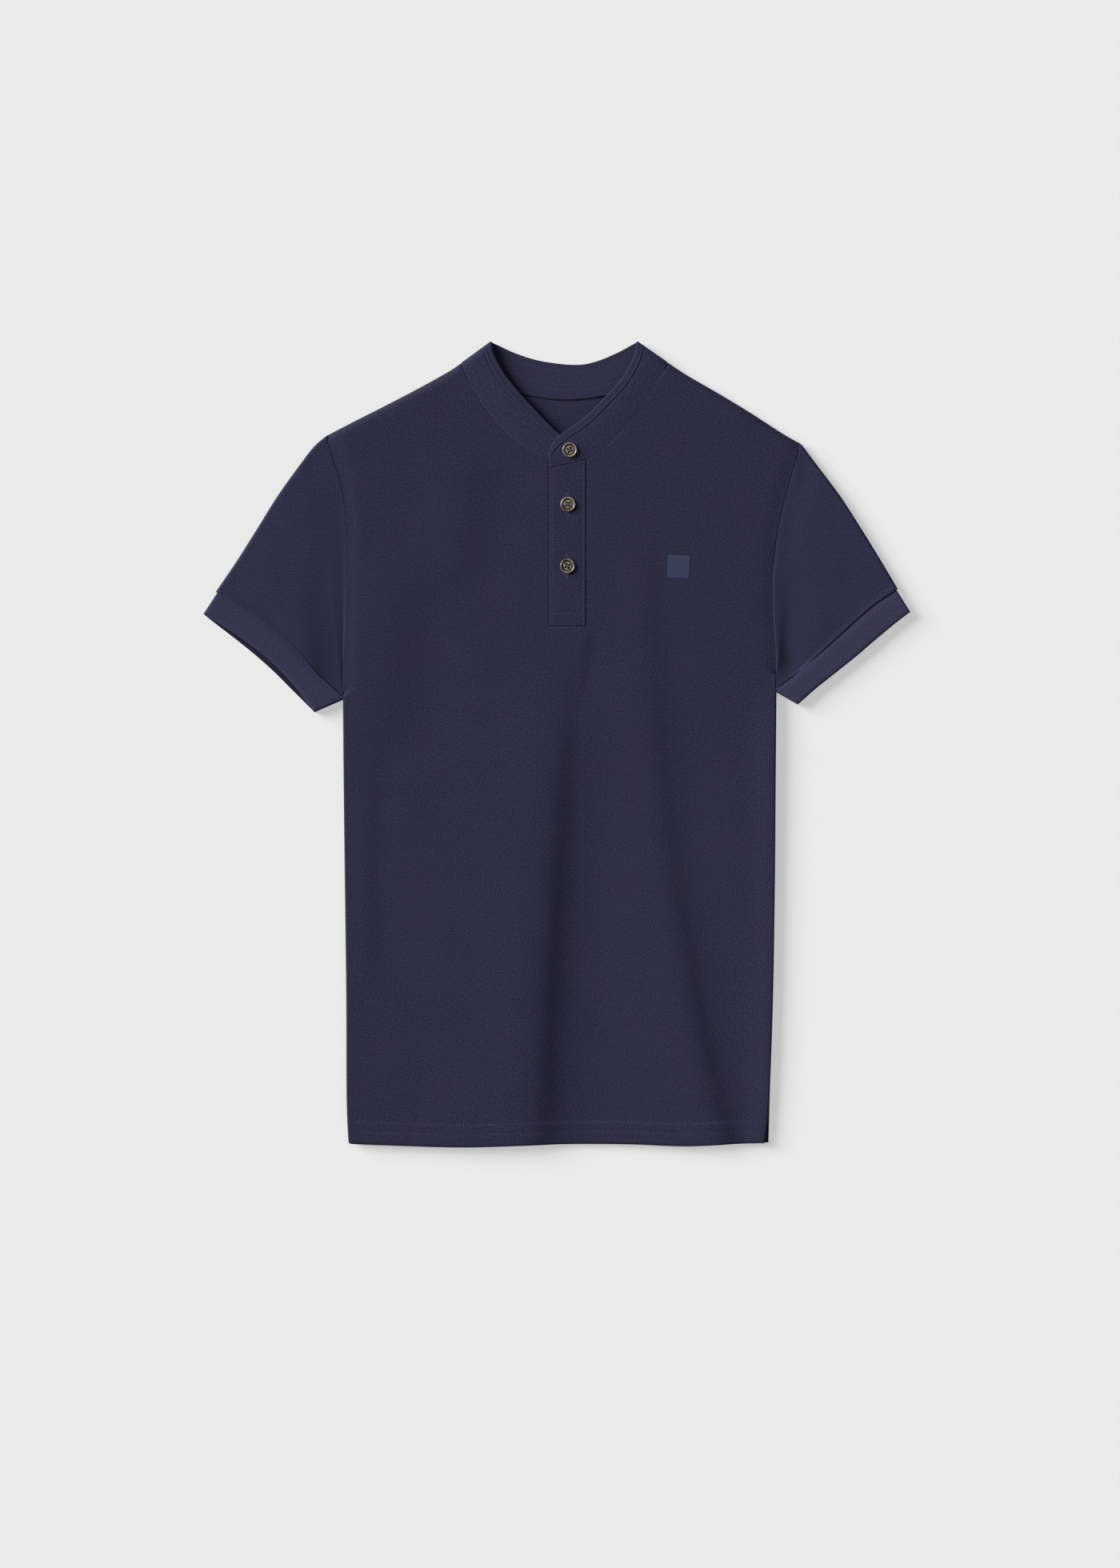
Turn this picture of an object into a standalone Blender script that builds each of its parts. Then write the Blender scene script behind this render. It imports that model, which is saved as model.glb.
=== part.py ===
"""Short-sleeved polo shirt with a band collar and ribbed cuffs, laid out flat on its back.

X runs across the shirt, Y from the hem to the collar and Z up from the surface it lies on.
Lengths are in millimetres and become metres when a mesh is made. Every piece of cloth is a
wall of its own: the outer face is worked out here and Solidify gives it its thickness.
"""
import math

import bmesh
import bpy
import numpy as np

MM = 0.001
MERGE_DISTANCE = 0.00001
GARMENT = "polo_shirt"

# Walls of the cloth, and the gap that parts two pieces at a seam
PANEL_WALL = 1.2
RIB_WALL = 1.6
BAND_WALL = 2.0
STRIP_WALL = 2.0
UNDER_STRIP_WALL = 1.6
SEAM_GAP = 0.3
TURN_GAP = 1.0

# How high the outer faces lie above the surface
RIM_DROP = 0.45
FRONT_EDGE = PANEL_WALL + SEAM_GAP + RIM_DROP
FRONT_LOFT = 7.5
ARMHOLE_LOFT = 6.0
SLEEVE_SEAM_LOFT = 5.4
SLEEVE_LOFT = 7.4
CUFF_LOFT = 8.2
VENT_LIFT = 2.0
VENT_HEIGHT = 30.0

# Rounding of the folded edges
SIDE_ROLL = 4.0
ARMHOLE_ROLL = 8.0
END_ROLL = 6.0
TUBE_ROLL = 4.0
ROLL_STEPS = (0.0, 0.134, 0.5, 1.0)
END_STEPS = (0.0, 0.25, 1.0)

# Body outline, (x, y): each side from the hem to the armpit, each armhole from the armpit
# to the shoulder tip, each shoulder from its tip to the neck
LEFT_SIDE = [(-174.8, -335.0), (-176.5, -296.0), (-176.8, -215.0), (-178.0, -114.0),
             (-179.0, -30.0), (-179.6, 41.0)]
RIGHT_SIDE = [(174.5, -335.0), (178.5, -296.0), (181.5, -215.0), (183.2, -114.0),
              (183.8, -30.0), (184.6, 58.0)]
RIGHT_SIDE_BACK = [(177.8, -335.0), (178.9, -296.0), (181.5, -215.0), (183.2, -114.0),
                   (183.8, -30.0), (184.6, 58.0)]
LEFT_ARMHOLE = [(-179.6, 41.0), (-178.6, 80.0), (-177.0, 121.0), (-175.6, 161.0),
                (-176.0, 186.0), (-179.6, 214.7), (-185.3, 234.2), (-193.4, 258.8)]
RIGHT_ARMHOLE = [(184.6, 58.0), (183.9, 82.0), (181.3, 115.0), (181.4, 145.0),
                 (184.6, 172.0), (191.6, 205.0), (198.5, 230.0), (205.0, 252.0)]
LEFT_SHOULDER = [(-193.4, 258.8), (-170.0, 271.0), (-144.7, 283.8), (-118.0, 297.7),
                 (-91.1, 312.6), (-80.5, 319.7)]
RIGHT_SHOULDER = [(93.1, 320.4), (110.0, 309.3), (136.7, 293.9), (163.5, 277.6),
                  (190.0, 260.5), (205.0, 252.0)]
HEM = [(-174.8, -335.0), (-145.0, -336.2), (-78.0, -337.9), (0.0, -335.6), (60.0, -335.6),
       (107.0, -337.1), (150.0, -335.2), (177.8, -334.4)]
FRONT_NECKLINE = [(-80.5, 319.7), (-75.4, 305.5), (-62.4, 282.6), (-43.6, 260.8),
                  (-23.2, 245.2), (-8.7, 239.0), (8.0, 236.6), (24.8, 239.0), (40.7, 248.7),
                  (58.2, 265.2), (75.6, 288.0), (88.0, 308.5), (93.1, 320.4)]
BACK_NECKLINE = [(-80.5, 319.7), (-55.0, 304.5), (-26.4, 294.5), (9.4, 290.2),
                 (47.6, 295.3), (72.0, 305.5), (93.1, 320.4)]

# Band collar, (x, y): its free edge over the back, then down each side of the front
BACK_BAND_EDGE = [(-55.4, 337.8), (-34.8, 328.2), (-13.4, 321.7), (13.4, 318.5),
                  (31.0, 320.7), (50.9, 328.6), (67.7, 337.9)]
LEFT_BAND_EDGE = [(-55.4, 337.8), (-52.0, 325.5), (-43.6, 310.3), (-31.9, 295.6),
                  (-17.4, 279.7), (0.0, 262.2), (12.0, 255.0), (24.0, 252.0)]
RIGHT_BAND_EDGE = [(67.7, 337.9), (63.8, 323.3), (53.8, 305.9), (39.3, 289.9),
                   (23.3, 273.9), (5.9, 261.6), (-2.5, 254.0), (-6.6, 246.0)]
BAND_ON_PLACKET = [(14.6, 236.1), (4.1, 233.9), (-6.6, 231.6)]
BAND_FOLD_AT_SEAM = 3.3
BAND_FOLD_AT_EDGE = 5.5
BAND_CROWN = 0.5
# share of the way from the neck point to the band's end, height of its seam, of its free edge
LEFT_BAND_HEIGHTS = [(0.0, 7.5, 11.0), (0.4, 7.5, 11.0), (0.72, 7.4, 7.6), (1.0, 7.2, 7.2)]
RIGHT_BAND_HEIGHTS = [(0.0, 7.5, 10.2), (0.6, 7.6, 10.5), (0.76, 10.3, 10.9), (1.0, 10.5, 10.9)]

# Placket: two strips over and under the slit of the front
PLACKET_LEFT = -6.0
PLACKET_RIGHT = 24.1
PLACKET_BOTTOM = 99.0
PLACKET_TOP_LEFT = 231.3
PLACKET_TOP_RIGHT = 237.5
PLACKET_LIFT = 0.5
UNDER_STRIP_TOP = 235.6
SLIT_MARGIN = 2.8
SLIT_PAST_NECK = 12.0
SLIT_HEIGHT = 30.0

# Sleeves, (x, y): the folded top from the shoulder tip, and the cuff seam from that fold
# down to the underarm
LEFT_SLEEVE_TOP = [(-193.4, 258.8), (-203.5, 250.0), (-215.5, 234.6), (-234.6, 207.8),
                   (-251.3, 181.0), (-268.2, 154.2), (-286.1, 127.8)]
RIGHT_SLEEVE_TOP = [(205.0, 252.0), (218.1, 234.6), (238.1, 207.8), (255.4, 181.0),
                    (271.9, 154.2), (286.1, 130.3)]
LEFT_CUFF_SEAM = [(-286.1, 127.8), (-263.3, 114.8), (-245.4, 101.9), (-227.5, 86.4),
                  (-212.9, 71.8), (-196.0, 53.0), (-183.4, 37.6)]
RIGHT_CUFF_SEAM = [(286.1, 130.3), (264.1, 115.2), (244.7, 98.2), (228.4, 83.4),
                   (212.2, 69.1), (197.0, 56.9), (187.2, 49.6)]
RIGHT_CUFF_START = [(286.1, 130.3), (264.1, 115.2), (244.7, 98.2), (228.4, 83.4),
                    (212.2, 69.1), (197.0, 56.4), (186.3, 43.0)]
LEFT_CUFF_START = [(-286.1, 127.8), (-263.3, 114.8), (-245.4, 101.9), (-227.5, 86.4),
                   (-212.9, 71.8), (-196.0, 53.0), (-184.0, 37.0)]
LEFT_CUFF_EDGE = [(-296.5, 109.1), (-270.7, 92.9), (-251.9, 79.6), (-235.0, 65.0),
                  (-220.3, 49.3), (-211.0, 37.0), (-203.2, 26.7)]
LEFT_CUFF_UNDER_EDGE = [(-296.5, 109.1), (-285.8, 100.6), (-268.4, 87.2), (-251.9, 73.8),
                        (-237.0, 60.4), (-223.6, 47.0), (-203.2, 26.7)]
RIGHT_CUFF_EDGE = [(296.5, 111.0), (283.0, 100.6), (266.9, 87.2), (251.3, 73.8),
                   (234.6, 60.4), (217.5, 46.8), (202.1, 33.2)]
CUFF_DEPTH = 22.0
CUFF_SEAM_GAP = 0.45
CUFF_RIBS = 86
RIB_HEIGHT = 0.25
RIB_POINTS_PER_INNER_POINT = 4
RIB_SHARP_ANGLE = math.radians(30.0)

# Buttons
BUTTON_DIAMETER = 12.6
BUTTON_THICKNESS = 2.6
BUTTON_PLACES = [(10.9, 246.4), (9.4, 200.9), (9.0, 149.2)]
BUTTON_HOLE = 1.5
BUTTON_HOLE_SPREAD = 1.45
BUTTON_TURN = math.radians(12.0)
BUTTON_SIDES = 24
BUTTON_HOLE_SIDES = 8
# share of the radius, share of the thickness: dished top, raised rim, foot
BUTTON_PROFILE = [(0.0, 0.55), (0.50, 0.55), (0.66, 0.62), (0.78, 1.0), (0.90, 0.96),
                  (1.0, 0.62), (1.0, 0.42), (0.80, 0.0), (0.0, 0.0)]

# Folds of the cloth as ridges (rise > 0) or troughs (rise < 0). Columns: crest at its start,
# middle and end (x, y), rise at each, width to its left and to its right, length it fades over
BODY_FOLDS = [
    ((2.0, 96.0), (-10.0, -90.0), (-30.0, -345.0), (0.6, 3.8, 5.0), 48.0, 15.0, 60.0),
    ((68.0, 190.0), (90.0, -60.0), (139.0, -345.0), (0.5, 2.0, 4.8), 34.0, 14.0, 60.0),
    ((-62.0, -30.0), (-66.0, -180.0), (-76.0, -345.0), (0.3, 1.4, 1.4), 30.0, 20.0, 70.0),
    ((-108.0, 150.0), (-116.0, 60.0), (-128.0, -40.0), (0.4, 1.5, 0.4), 26.0, 16.0, 60.0),
    ((-58.0, 250.0), (-60.0, 195.0), (-70.0, 120.0), (-0.2, -1.2, -0.3), 15.0, 20.0, 50.0),
    ((150.0, 200.0), (156.0, 60.0), (160.0, -160.0), (0.2, 1.0, 0.2), 20.0, 16.0, 80.0),
]
LEFT_SLEEVE_FOLDS = [
    ((-214.0, 228.0), (-206.0, 160.0), (-201.0, 62.0), (-0.6, -1.7, -1.2), 16.0, 13.0, 30.0),
    ((-240.0, 180.0), (-232.0, 140.0), (-222.0, 95.0), (0.2, 1.0, 0.3), 16.0, 14.0, 30.0),
]
RIGHT_SLEEVE_FOLDS = [
    ((203.0, 215.0), (195.0, 130.0), (192.0, 52.0), (-0.4, -1.2, -2.2), 12.0, 14.0, 30.0),
    ((232.0, 190.0), (228.0, 140.0), (222.0, 95.0), (0.3, 1.1, 0.3), 15.0, 16.0, 30.0),
]

# Share of a sleeve's length over which it rises from its seam, and takes up its folds
SLEEVE_RISE_SHARE = 0.25
SLEEVE_FOLD_SHARE = 0.2

# Grid of the front, outline of the back, rings of the sleeves and cuffs
SIDE_INTERVALS = 12
ARMHOLE_INTERVALS = 10
SHOULDER_INTERVALS = 6
NECKLINE_INTERVALS = 18
HEM_INTERVALS = 12
SLEEVE_RINGS = 8
CUFF_UNDER_INTERVALS = 10
STRIP_COLUMNS = 4
STRIP_ROWS = 14

NAVY = (0.027, 0.027, 0.054)
NAVY_RIB = (0.025, 0.025, 0.050)
HORN = (0.30, 0.22, 0.14)
CLOTH_ROUGHNESS = 0.85
HORN_ROUGHNESS = 0.35


# ---------------------------------------------------------------- curves and heights

def smooth_curve(knots, steps=16):
    """Closely spaced points on a smooth curve through the knots."""
    points = [np.array(knot, dtype=float) for knot in knots]
    points = [2 * points[0] - points[1]] + points + [2 * points[-1] - points[-2]]
    curve = []
    for a, b, c, d in zip(points, points[1:], points[2:], points[3:]):
        for t in np.linspace(0.0, 1.0, steps, endpoint=False):
            curve.append(b + 0.5 * t * (c - a + t * (2 * a - 5 * b + 4 * c - d
                                                     + t * (3 * (b - c) + d - a))))
    curve.append(points[-2])
    return np.array(curve)


def run_of(curve):
    """Distance run along the curve at each of its points."""
    steps = np.linalg.norm(np.diff(curve, axis=0), axis=1)
    return np.concatenate([[0.0], np.cumsum(steps)])


def points_at(curve, shares):
    """Points at the given shares of the curve's length."""
    run = run_of(curve)
    where = np.asarray(shares) * run[-1]
    return np.stack([np.interp(where, run, curve[:, axis]) for axis in range(2)], axis=1)


def quarter_round(t):
    """Rise of a rounded edge, from 0 at its rim to 1 where it joins the face."""
    t = min(max(t, 0.0), 1.0)
    return math.sqrt(1.0 - (1.0 - t) ** 2)


def ease(t):
    t = min(max(t, 0.0), 1.0)
    return t * t * (3.0 - 2.0 * t)


def through_three(start, middle, end, t):
    """Parabola that passes start at t = 0, middle at 0.5 and end at 1."""
    return (start * (2 * t - 1) * (t - 1) + middle * 4 * t * (1 - t) + end * t * (2 * t - 1))


def relief(folds, x, y):
    """Height that the folds add at a point of the cloth."""
    height = 0.0
    for start, middle, end, rises, left_width, right_width, fade in folds:
        t = (start[1] - y) / (start[1] - end[1])
        if t < 0.0 or t > 1.0:
            continue
        crest = through_three(start[0], middle[0], end[0], t)
        rise = through_three(*rises, t)
        offset = x - crest
        width = left_width if offset < 0.0 else right_width
        ends = ease((start[1] - y) / fade) * ease((y - end[1]) / fade + (end[1] < HEM[0][1]))
        height += rise * ends * math.exp(-(offset / width) ** 2)
    return height


def front_height(x, y):
    return FRONT_LOFT + relief(BODY_FOLDS, x, y)


def end_shares(curve, intervals):
    """Shares of a seam's length: close steps where it turns over at both ends."""
    length = run_of(curve)[-1]
    first = [step * END_ROLL / length for step in END_STEPS]
    middle = np.linspace(first[-1], 1.0 - first[-1], intervals + 1)[1:-1]
    return first + list(middle) + [1.0 - share for share in reversed(first)]


def height_table(rows, share, column):
    return float(np.interp(share, [row[0] for row in rows], [row[column] for row in rows]))


# ---------------------------------------------------------------- meshes

def clear_scene():
    for item in list(bpy.data.objects):
        bpy.data.objects.remove(item, do_unlink=True)


def new_collection(name):
    collection = bpy.data.collections.new(name)
    bpy.context.scene.collection.children.link(collection)
    return collection


def cloth_material(name, colour, roughness):
    material = bpy.data.materials.new(name)
    material.use_nodes = True
    shader = material.node_tree.nodes["Principled BSDF"]
    shader.inputs["Base Color"].default_value = (*colour, 1.0)
    shader.inputs["Roughness"].default_value = roughness
    shader.inputs["Metallic"].default_value = 0.0
    material.diffuse_color = (*colour, 1.0)
    return material


def object_from(name, bm, material, collection):
    mesh = bpy.data.meshes.new(name)
    bm.to_mesh(mesh)
    bm.free()
    mesh.shade_smooth()
    item = bpy.data.objects.new(name, mesh)
    item.data.materials.append(material)
    collection.objects.link(item)
    return item


def skin(rows, round_tube=False):
    """Quads between neighbouring rows of points, as a bmesh in metres."""
    bm = bmesh.new()
    verts = [[bm.verts.new([value * MM for value in point]) for point in row] for row in rows]
    for low, high in zip(verts, verts[1:]):
        count = len(low)
        for i in range(count if round_tube else count - 1):
            after = (i + 1) % count
            bm.faces.new((low[i], low[after], high[after], high[i]))
    return bm


def thicken(item, wall):
    shell = item.modifiers.new("Wall", "SOLIDIFY")
    shell.thickness = wall * MM
    shell.offset = -1.0
    return shell


# ---------------------------------------------------------------- body

def end_openness(run):
    """0 at both ends of a seam, where the cloth turns over, and 1 between them."""
    return np.array([quarter_round(gone / END_ROLL) * quarter_round((run[-1] - gone) / END_ROLL)
                     for gone in run])


def side_points(side, armhole):
    """Points up one side of the body, and how open its edge is at each of them."""
    low = points_at(smooth_curve(side), np.linspace(0.0, 1.0, SIDE_INTERVALS + 1)[:-1])
    hole = smooth_curve(armhole)
    shares = np.array(end_shares(hole, ARMHOLE_INTERVALS))
    opened = end_openness(shares * run_of(hole)[-1])
    return np.concatenate([low, points_at(hole, shares)]), [0.0] * len(low) + list(opened)


def neckline_points(knots):
    curve = smooth_curve(knots)
    return points_at(curve, end_shares(curve, NECKLINE_INTERVALS))


def shoulder_points(knots):
    return points_at(smooth_curve(knots), np.linspace(0.0, 1.0, SHOULDER_INTERVALS + 1))


def edge_insets():
    return [step * SIDE_ROLL for step in ROLL_STEPS]


def front_top_edge():
    """Top edge of the front from tip to tip: shoulder, neckline, shoulder."""
    left = shoulder_points(LEFT_SHOULDER)
    neck = neckline_points(FRONT_NECKLINE)
    right = shoulder_points(RIGHT_SHOULDER)
    edge = np.concatenate([left, neck[1:-1], right])
    insets = edge_insets()
    tip_left, tip_right = edge[0][0], edge[-1][0]
    rolled = ([tip_left + inset for inset in insets[1:]]
              + [tip_right - inset for inset in insets[1:]])
    extra = [(x, np.interp(x, edge[:, 0], edge[:, 1])) for x in rolled]
    edge = np.array(sorted([tuple(point) for point in edge] + extra))
    run = run_of(neck)
    return edge, neck[:, 0], run


def front_rows():
    """Outer face of the front, rows from the hem up, each from left to right."""
    left, opened = side_points(LEFT_SIDE, LEFT_ARMHOLE)
    right, _ = side_points(RIGHT_SIDE, RIGHT_ARMHOLE)
    top, neck_x, neck_run = front_top_edge()
    hem = smooth_curve(HEM)
    columns = len(top)
    insets = edge_insets()
    last = len(insets) - 1
    width_top = top[-1][0] - top[0][0]
    share_top = (top[:, 0] - top[0][0]) / width_top
    even = np.linspace(0.0, 1.0, columns - 2 * last)
    rows = []
    for level in range(len(left)):
        (x_left, y_left), (x_right, y_right) = left[level], right[level]
        up_left = (y_left - left[0][1]) / (left[-1][1] - left[0][1])
        up_right = (y_right - right[0][1]) / (right[-1][1] - right[0][1])
        up = 0.5 * (up_left + up_right)
        width = x_right - x_left
        row = []
        for column in range(columns):
            edge_column = min(column, columns - 1 - column)
            if edge_column <= last:
                share = insets[edge_column] / width
                share = share if column == edge_column else 1.0 - share
                share_hem = share
            else:
                inner = insets[-1] / width
                share_hem = inner + (1.0 - 2.0 * inner) * even[column - last]
                share = share_hem + (share_top[column] - share_hem) * up ** 2
            x = x_left + share * width
            hem_y = np.interp(left[0][0] + share_hem * (right[0][0] - left[0][0]),
                              hem[:, 0], hem[:, 1])
            y = (hem_y * (1.0 - up) + top[column][1] * up
                 + (1.0 - share) * (up_left - up) * (left[-1][1] - left[0][1])
                 + share * (up_right - up) * (right[-1][1] - right[0][1]))
            row.append((x, y, front_face_height(x, y, min(share, 1.0 - share) * width,
                                                top[column][1] - y, opened[level],
                                                neck_lift(top[column][0], neck_x, neck_run))))
        rows.append(row)
    return rows


def neck_lift(x, neck_x, neck_run):
    """1 where the top edge is the open neckline, 0 where it is the folded shoulder."""
    if x <= neck_x[0] or x >= neck_x[-1]:
        return 0.0
    run = np.interp(x, neck_x, neck_run)
    return quarter_round(run / END_ROLL) * quarter_round((neck_run[-1] - run) / END_ROLL)


def front_face_height(x, y, from_side, from_top, side_open, neck_open):
    """The face sinks to the back panel at the side and shoulder folds, not at openings."""
    held = side_open * (ARMHOLE_LOFT - FRONT_EDGE) / (FRONT_LOFT - FRONT_EDGE)
    roll = SIDE_ROLL + (ARMHOLE_ROLL - SIDE_ROLL) * side_open
    vent = VENT_LIFT / (FRONT_LOFT - FRONT_EDGE) * ease((LEFT_SIDE[1][1] - y) / VENT_HEIGHT)
    held = max(held, vent)
    side = held + (1.0 - held) * quarter_round(from_side / roll)
    top = neck_open + (1.0 - neck_open) * quarter_round(from_top / END_ROLL)
    return FRONT_EDGE + (front_height(x, y) - FRONT_EDGE) * side * top


def front_panel(material, collection, cutters):
    """Front, with the slit of the placket cut out from the neckline down."""
    item = object_from("front_panel", skin(front_rows()), material, collection)
    thicken(item, PANEL_WALL)
    bm = bmesh.new()
    bmesh.ops.create_cube(bm, size=1.0)
    low = np.array((PLACKET_LEFT + SLIT_MARGIN, PLACKET_BOTTOM + SLIT_MARGIN, 0.0))
    high = np.array((PLACKET_RIGHT - SLIT_MARGIN, PLACKET_TOP_RIGHT + SLIT_PAST_NECK, SLIT_HEIGHT))
    bmesh.ops.scale(bm, vec=(high - low) * MM, verts=bm.verts)
    bmesh.ops.translate(bm, vec=(high + low) * 0.5 * MM, verts=bm.verts)
    slit = object_from("placket_slit", bm, material, cutters)
    slit.hide_render = True
    slit.display_type = "WIRE"
    cut = item.modifiers.new("Placket slit", "BOOLEAN")
    cut.operation = "DIFFERENCE"
    cut.solver = "EXACT"
    cut.object = slit
    return item


def back_panel(material, collection):
    """Back, flat on the surface from edge to edge."""
    left, _ = side_points(LEFT_SIDE, LEFT_ARMHOLE)
    right, _ = side_points(RIGHT_SIDE_BACK, RIGHT_ARMHOLE)
    hem = points_at(smooth_curve(HEM), np.linspace(0.0, 1.0, HEM_INTERVALS + 1))[1:-1]
    outline = (list(left) + list(shoulder_points(LEFT_SHOULDER))[1:-1]
               + list(neckline_points(BACK_NECKLINE))
               + list(shoulder_points(RIGHT_SHOULDER))[1:-1]
               + list(right)[::-1] + list(hem)[::-1])
    bm = bmesh.new()
    face = bm.faces.new([bm.verts.new((x * MM, y * MM, PANEL_WALL * MM))
                         for x, y in reversed(outline)])
    face.normal_update()
    item = object_from("back_panel", bm, material, collection)
    item.data.shade_flat()
    thicken(item, PANEL_WALL)
    return item


# ---------------------------------------------------------------- collar band

def moved_inwards(points, gap):
    """Points shifted towards the neck hole, square to the line through them."""
    along = np.gradient(points, axis=0)
    along /= np.linalg.norm(along, axis=1)[:, None]
    return points + gap * np.stack([-along[:, 1], along[:, 0]], axis=1)


def band_station(seam, edge, seam_height, edge_height, crown):
    middle = (np.array(seam) + np.array(edge)) / 2
    return [(*seam, seam_height), (*middle, (seam_height + edge_height) / 2 + crown),
            (*edge, edge_height)]


def band_side(seam, edge_knots, heights):
    """Stations from the neck fold down one side of the front."""
    run = run_of(seam)
    shares = run / run[-1]
    edge_curve = smooth_curve(edge_knots)
    edge_length = run_of(edge_curve)[-1]
    edge = points_at(edge_curve, shares)
    stations = []
    for i, share in enumerate(shares):
        turn_seam = quarter_round(run[i] / END_ROLL)
        turn_edge = quarter_round(share * edge_length / END_ROLL)
        seam_height = (BAND_FOLD_AT_SEAM
                       + (height_table(heights, share, 1) - BAND_FOLD_AT_SEAM) * turn_seam)
        edge_height = (BAND_FOLD_AT_EDGE
                       + (height_table(heights, share, 2) - BAND_FOLD_AT_EDGE) * turn_edge)
        stations.append(band_station(seam[i], edge[i], seam_height, edge_height,
                                     BAND_CROWN * turn_seam))
    return stations


def band_back(seam, edge_knots):
    """Stations across the back, where the band lies on the surface."""
    run = run_of(seam)
    shares = run / run[-1]
    edge_curve = smooth_curve(edge_knots)
    edge_length = run_of(edge_curve)[-1]
    edge = points_at(edge_curve, shares)
    stations = []
    for i, share in enumerate(shares):
        near = min(share, 1.0 - share)
        seam_height = BAND_FOLD_AT_SEAM * (1.0 - quarter_round(near * run[-1] / END_ROLL))
        edge_height = BAND_FOLD_AT_EDGE * (1.0 - quarter_round(near * edge_length / END_ROLL))
        stations.append(band_station(seam[i], edge[i], seam_height, edge_height, 0.0))
    return stations


def collar_band(material, collection):
    """One double strip: under end, left front, back, right front, end on top."""
    front = neckline_points(FRONT_NECKLINE)
    back = moved_inwards(neckline_points(BACK_NECKLINE), SEAM_GAP)
    seam = moved_inwards(front, SEAM_GAP)
    seam[0] = back[0]
    seam[-1] = back[-1]
    left_seam = np.array([point for point in seam if point[0] <= PLACKET_RIGHT])
    right_seam = np.array([point for point in seam[::-1] if point[0] >= PLACKET_RIGHT]
                          + [np.array(point) for point in BAND_ON_PLACKET])
    left = band_side(left_seam, LEFT_BAND_EDGE, LEFT_BAND_HEIGHTS)
    right = band_side(right_seam, RIGHT_BAND_EDGE, RIGHT_BAND_HEIGHTS)
    across = band_back(back, BACK_BAND_EDGE)
    stations = left[::-1] + across[1:-1] + right
    item = object_from("collar_band", skin(stations), material, collection)
    thicken(item, BAND_WALL)
    return item


# ---------------------------------------------------------------- placket

def placket_strip(name, left, right, bottom, top_left, top_right, lift, wall, material,
                  collection):
    """A strip that follows the front: its outer face is the front's, moved by lift."""
    rows = []
    for up in np.linspace(0.0, 1.0, STRIP_ROWS + 1):
        row = []
        for across in np.linspace(0.0, 1.0, STRIP_COLUMNS + 1):
            x = left + (right - left) * across
            top = top_left + (top_right - top_left) * across
            y = bottom + (top - bottom) * up
            row.append((x, y, front_height(x, y) + lift))
        rows.append(row)
    item = object_from(name, skin(rows), material, collection)
    thicken(item, wall)
    return item


# ---------------------------------------------------------------- sleeves and cuffs

def tube_turn(run):
    """0 at both folded edges of a flattened tube and 1 between them."""
    return [quarter_round(gone / TUBE_ROLL) * quarter_round((run[-1] - gone) / TUBE_ROLL)
            for gone in run]


def tube_ring(upper, lower, loft):
    """Ring of a flattened tube: along its upper points and back along its lower ones.

    loft gives the height of the upper layer at a point; the lower layer lies on the surface.
    """
    fold_height = 0.5 * loft(*upper[0])
    over = [(*point, fold_height + (loft(*point) - fold_height) * turn)
            for point, turn in zip(upper, tube_turn(run_of(upper)))]
    under = [(*point, fold_height * (1.0 - turn))
             for point, turn in zip(lower, tube_turn(run_of(lower)))]
    return over + under[-2:0:-1]


def sleeve(name, armhole, top, cuff_seam, side_sign, folds, material, collection):
    """Tube from the armhole to the cuff seam, folded at its top and at the underarm."""
    hole_curve = smooth_curve(armhole)
    shares = end_shares(hole_curve, ARMHOLE_INTERVALS)
    hole = points_at(hole_curve, shares)[::-1]
    down = 1.0 - np.array(shares)[::-1]
    opened = end_openness(down * run_of(hole_curve)[-1])
    hole[:, 0] += side_sign * (SEAM_GAP + TURN_GAP * (1.0 - opened))
    seam = points_at(smooth_curve(cuff_seam), down)
    fold = points_at(smooth_curve(top), np.linspace(0.0, 1.0, SLEEVE_RINGS + 1))
    fold[0] = hole[0]
    rings = []
    for number in range(SLEEVE_RINGS + 1):
        out = number / SLEEVE_RINGS
        straight = hole * (1.0 - out) + seam * out
        bend = fold[number] - straight[0]
        plan = straight + np.outer(1.0 - down, bend)
        upper_loft = (SLEEVE_SEAM_LOFT
                      + (SLEEVE_LOFT - SLEEVE_SEAM_LOFT) * ease(out / SLEEVE_RISE_SHARE))
        relief_share = ease(out / SLEEVE_FOLD_SHARE)

        def loft(x, y, base=upper_loft, share=relief_share):
            return base + share * relief(folds, x, y)

        rings.append(tube_ring(plan, plan, loft))
    rings = rings if side_sign > 0 else [ring[::-1] for ring in rings]
    item = object_from(name, skin(rings, round_tube=True), material, collection)
    thicken(item, PANEL_WALL)
    return item


def cuff_shares(length):
    """Shares along the upper layer: the rolled fold, two points for each rib, the fold."""
    fold = [step * TUBE_ROLL / length for step in ROLL_STEPS]
    ribs = np.linspace(fold[-1], 1.0 - fold[-1], 2 * CUFF_RIBS + 1)[1:-1]
    return np.array(fold + list(ribs) + [1.0 - share for share in reversed(fold)])


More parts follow.
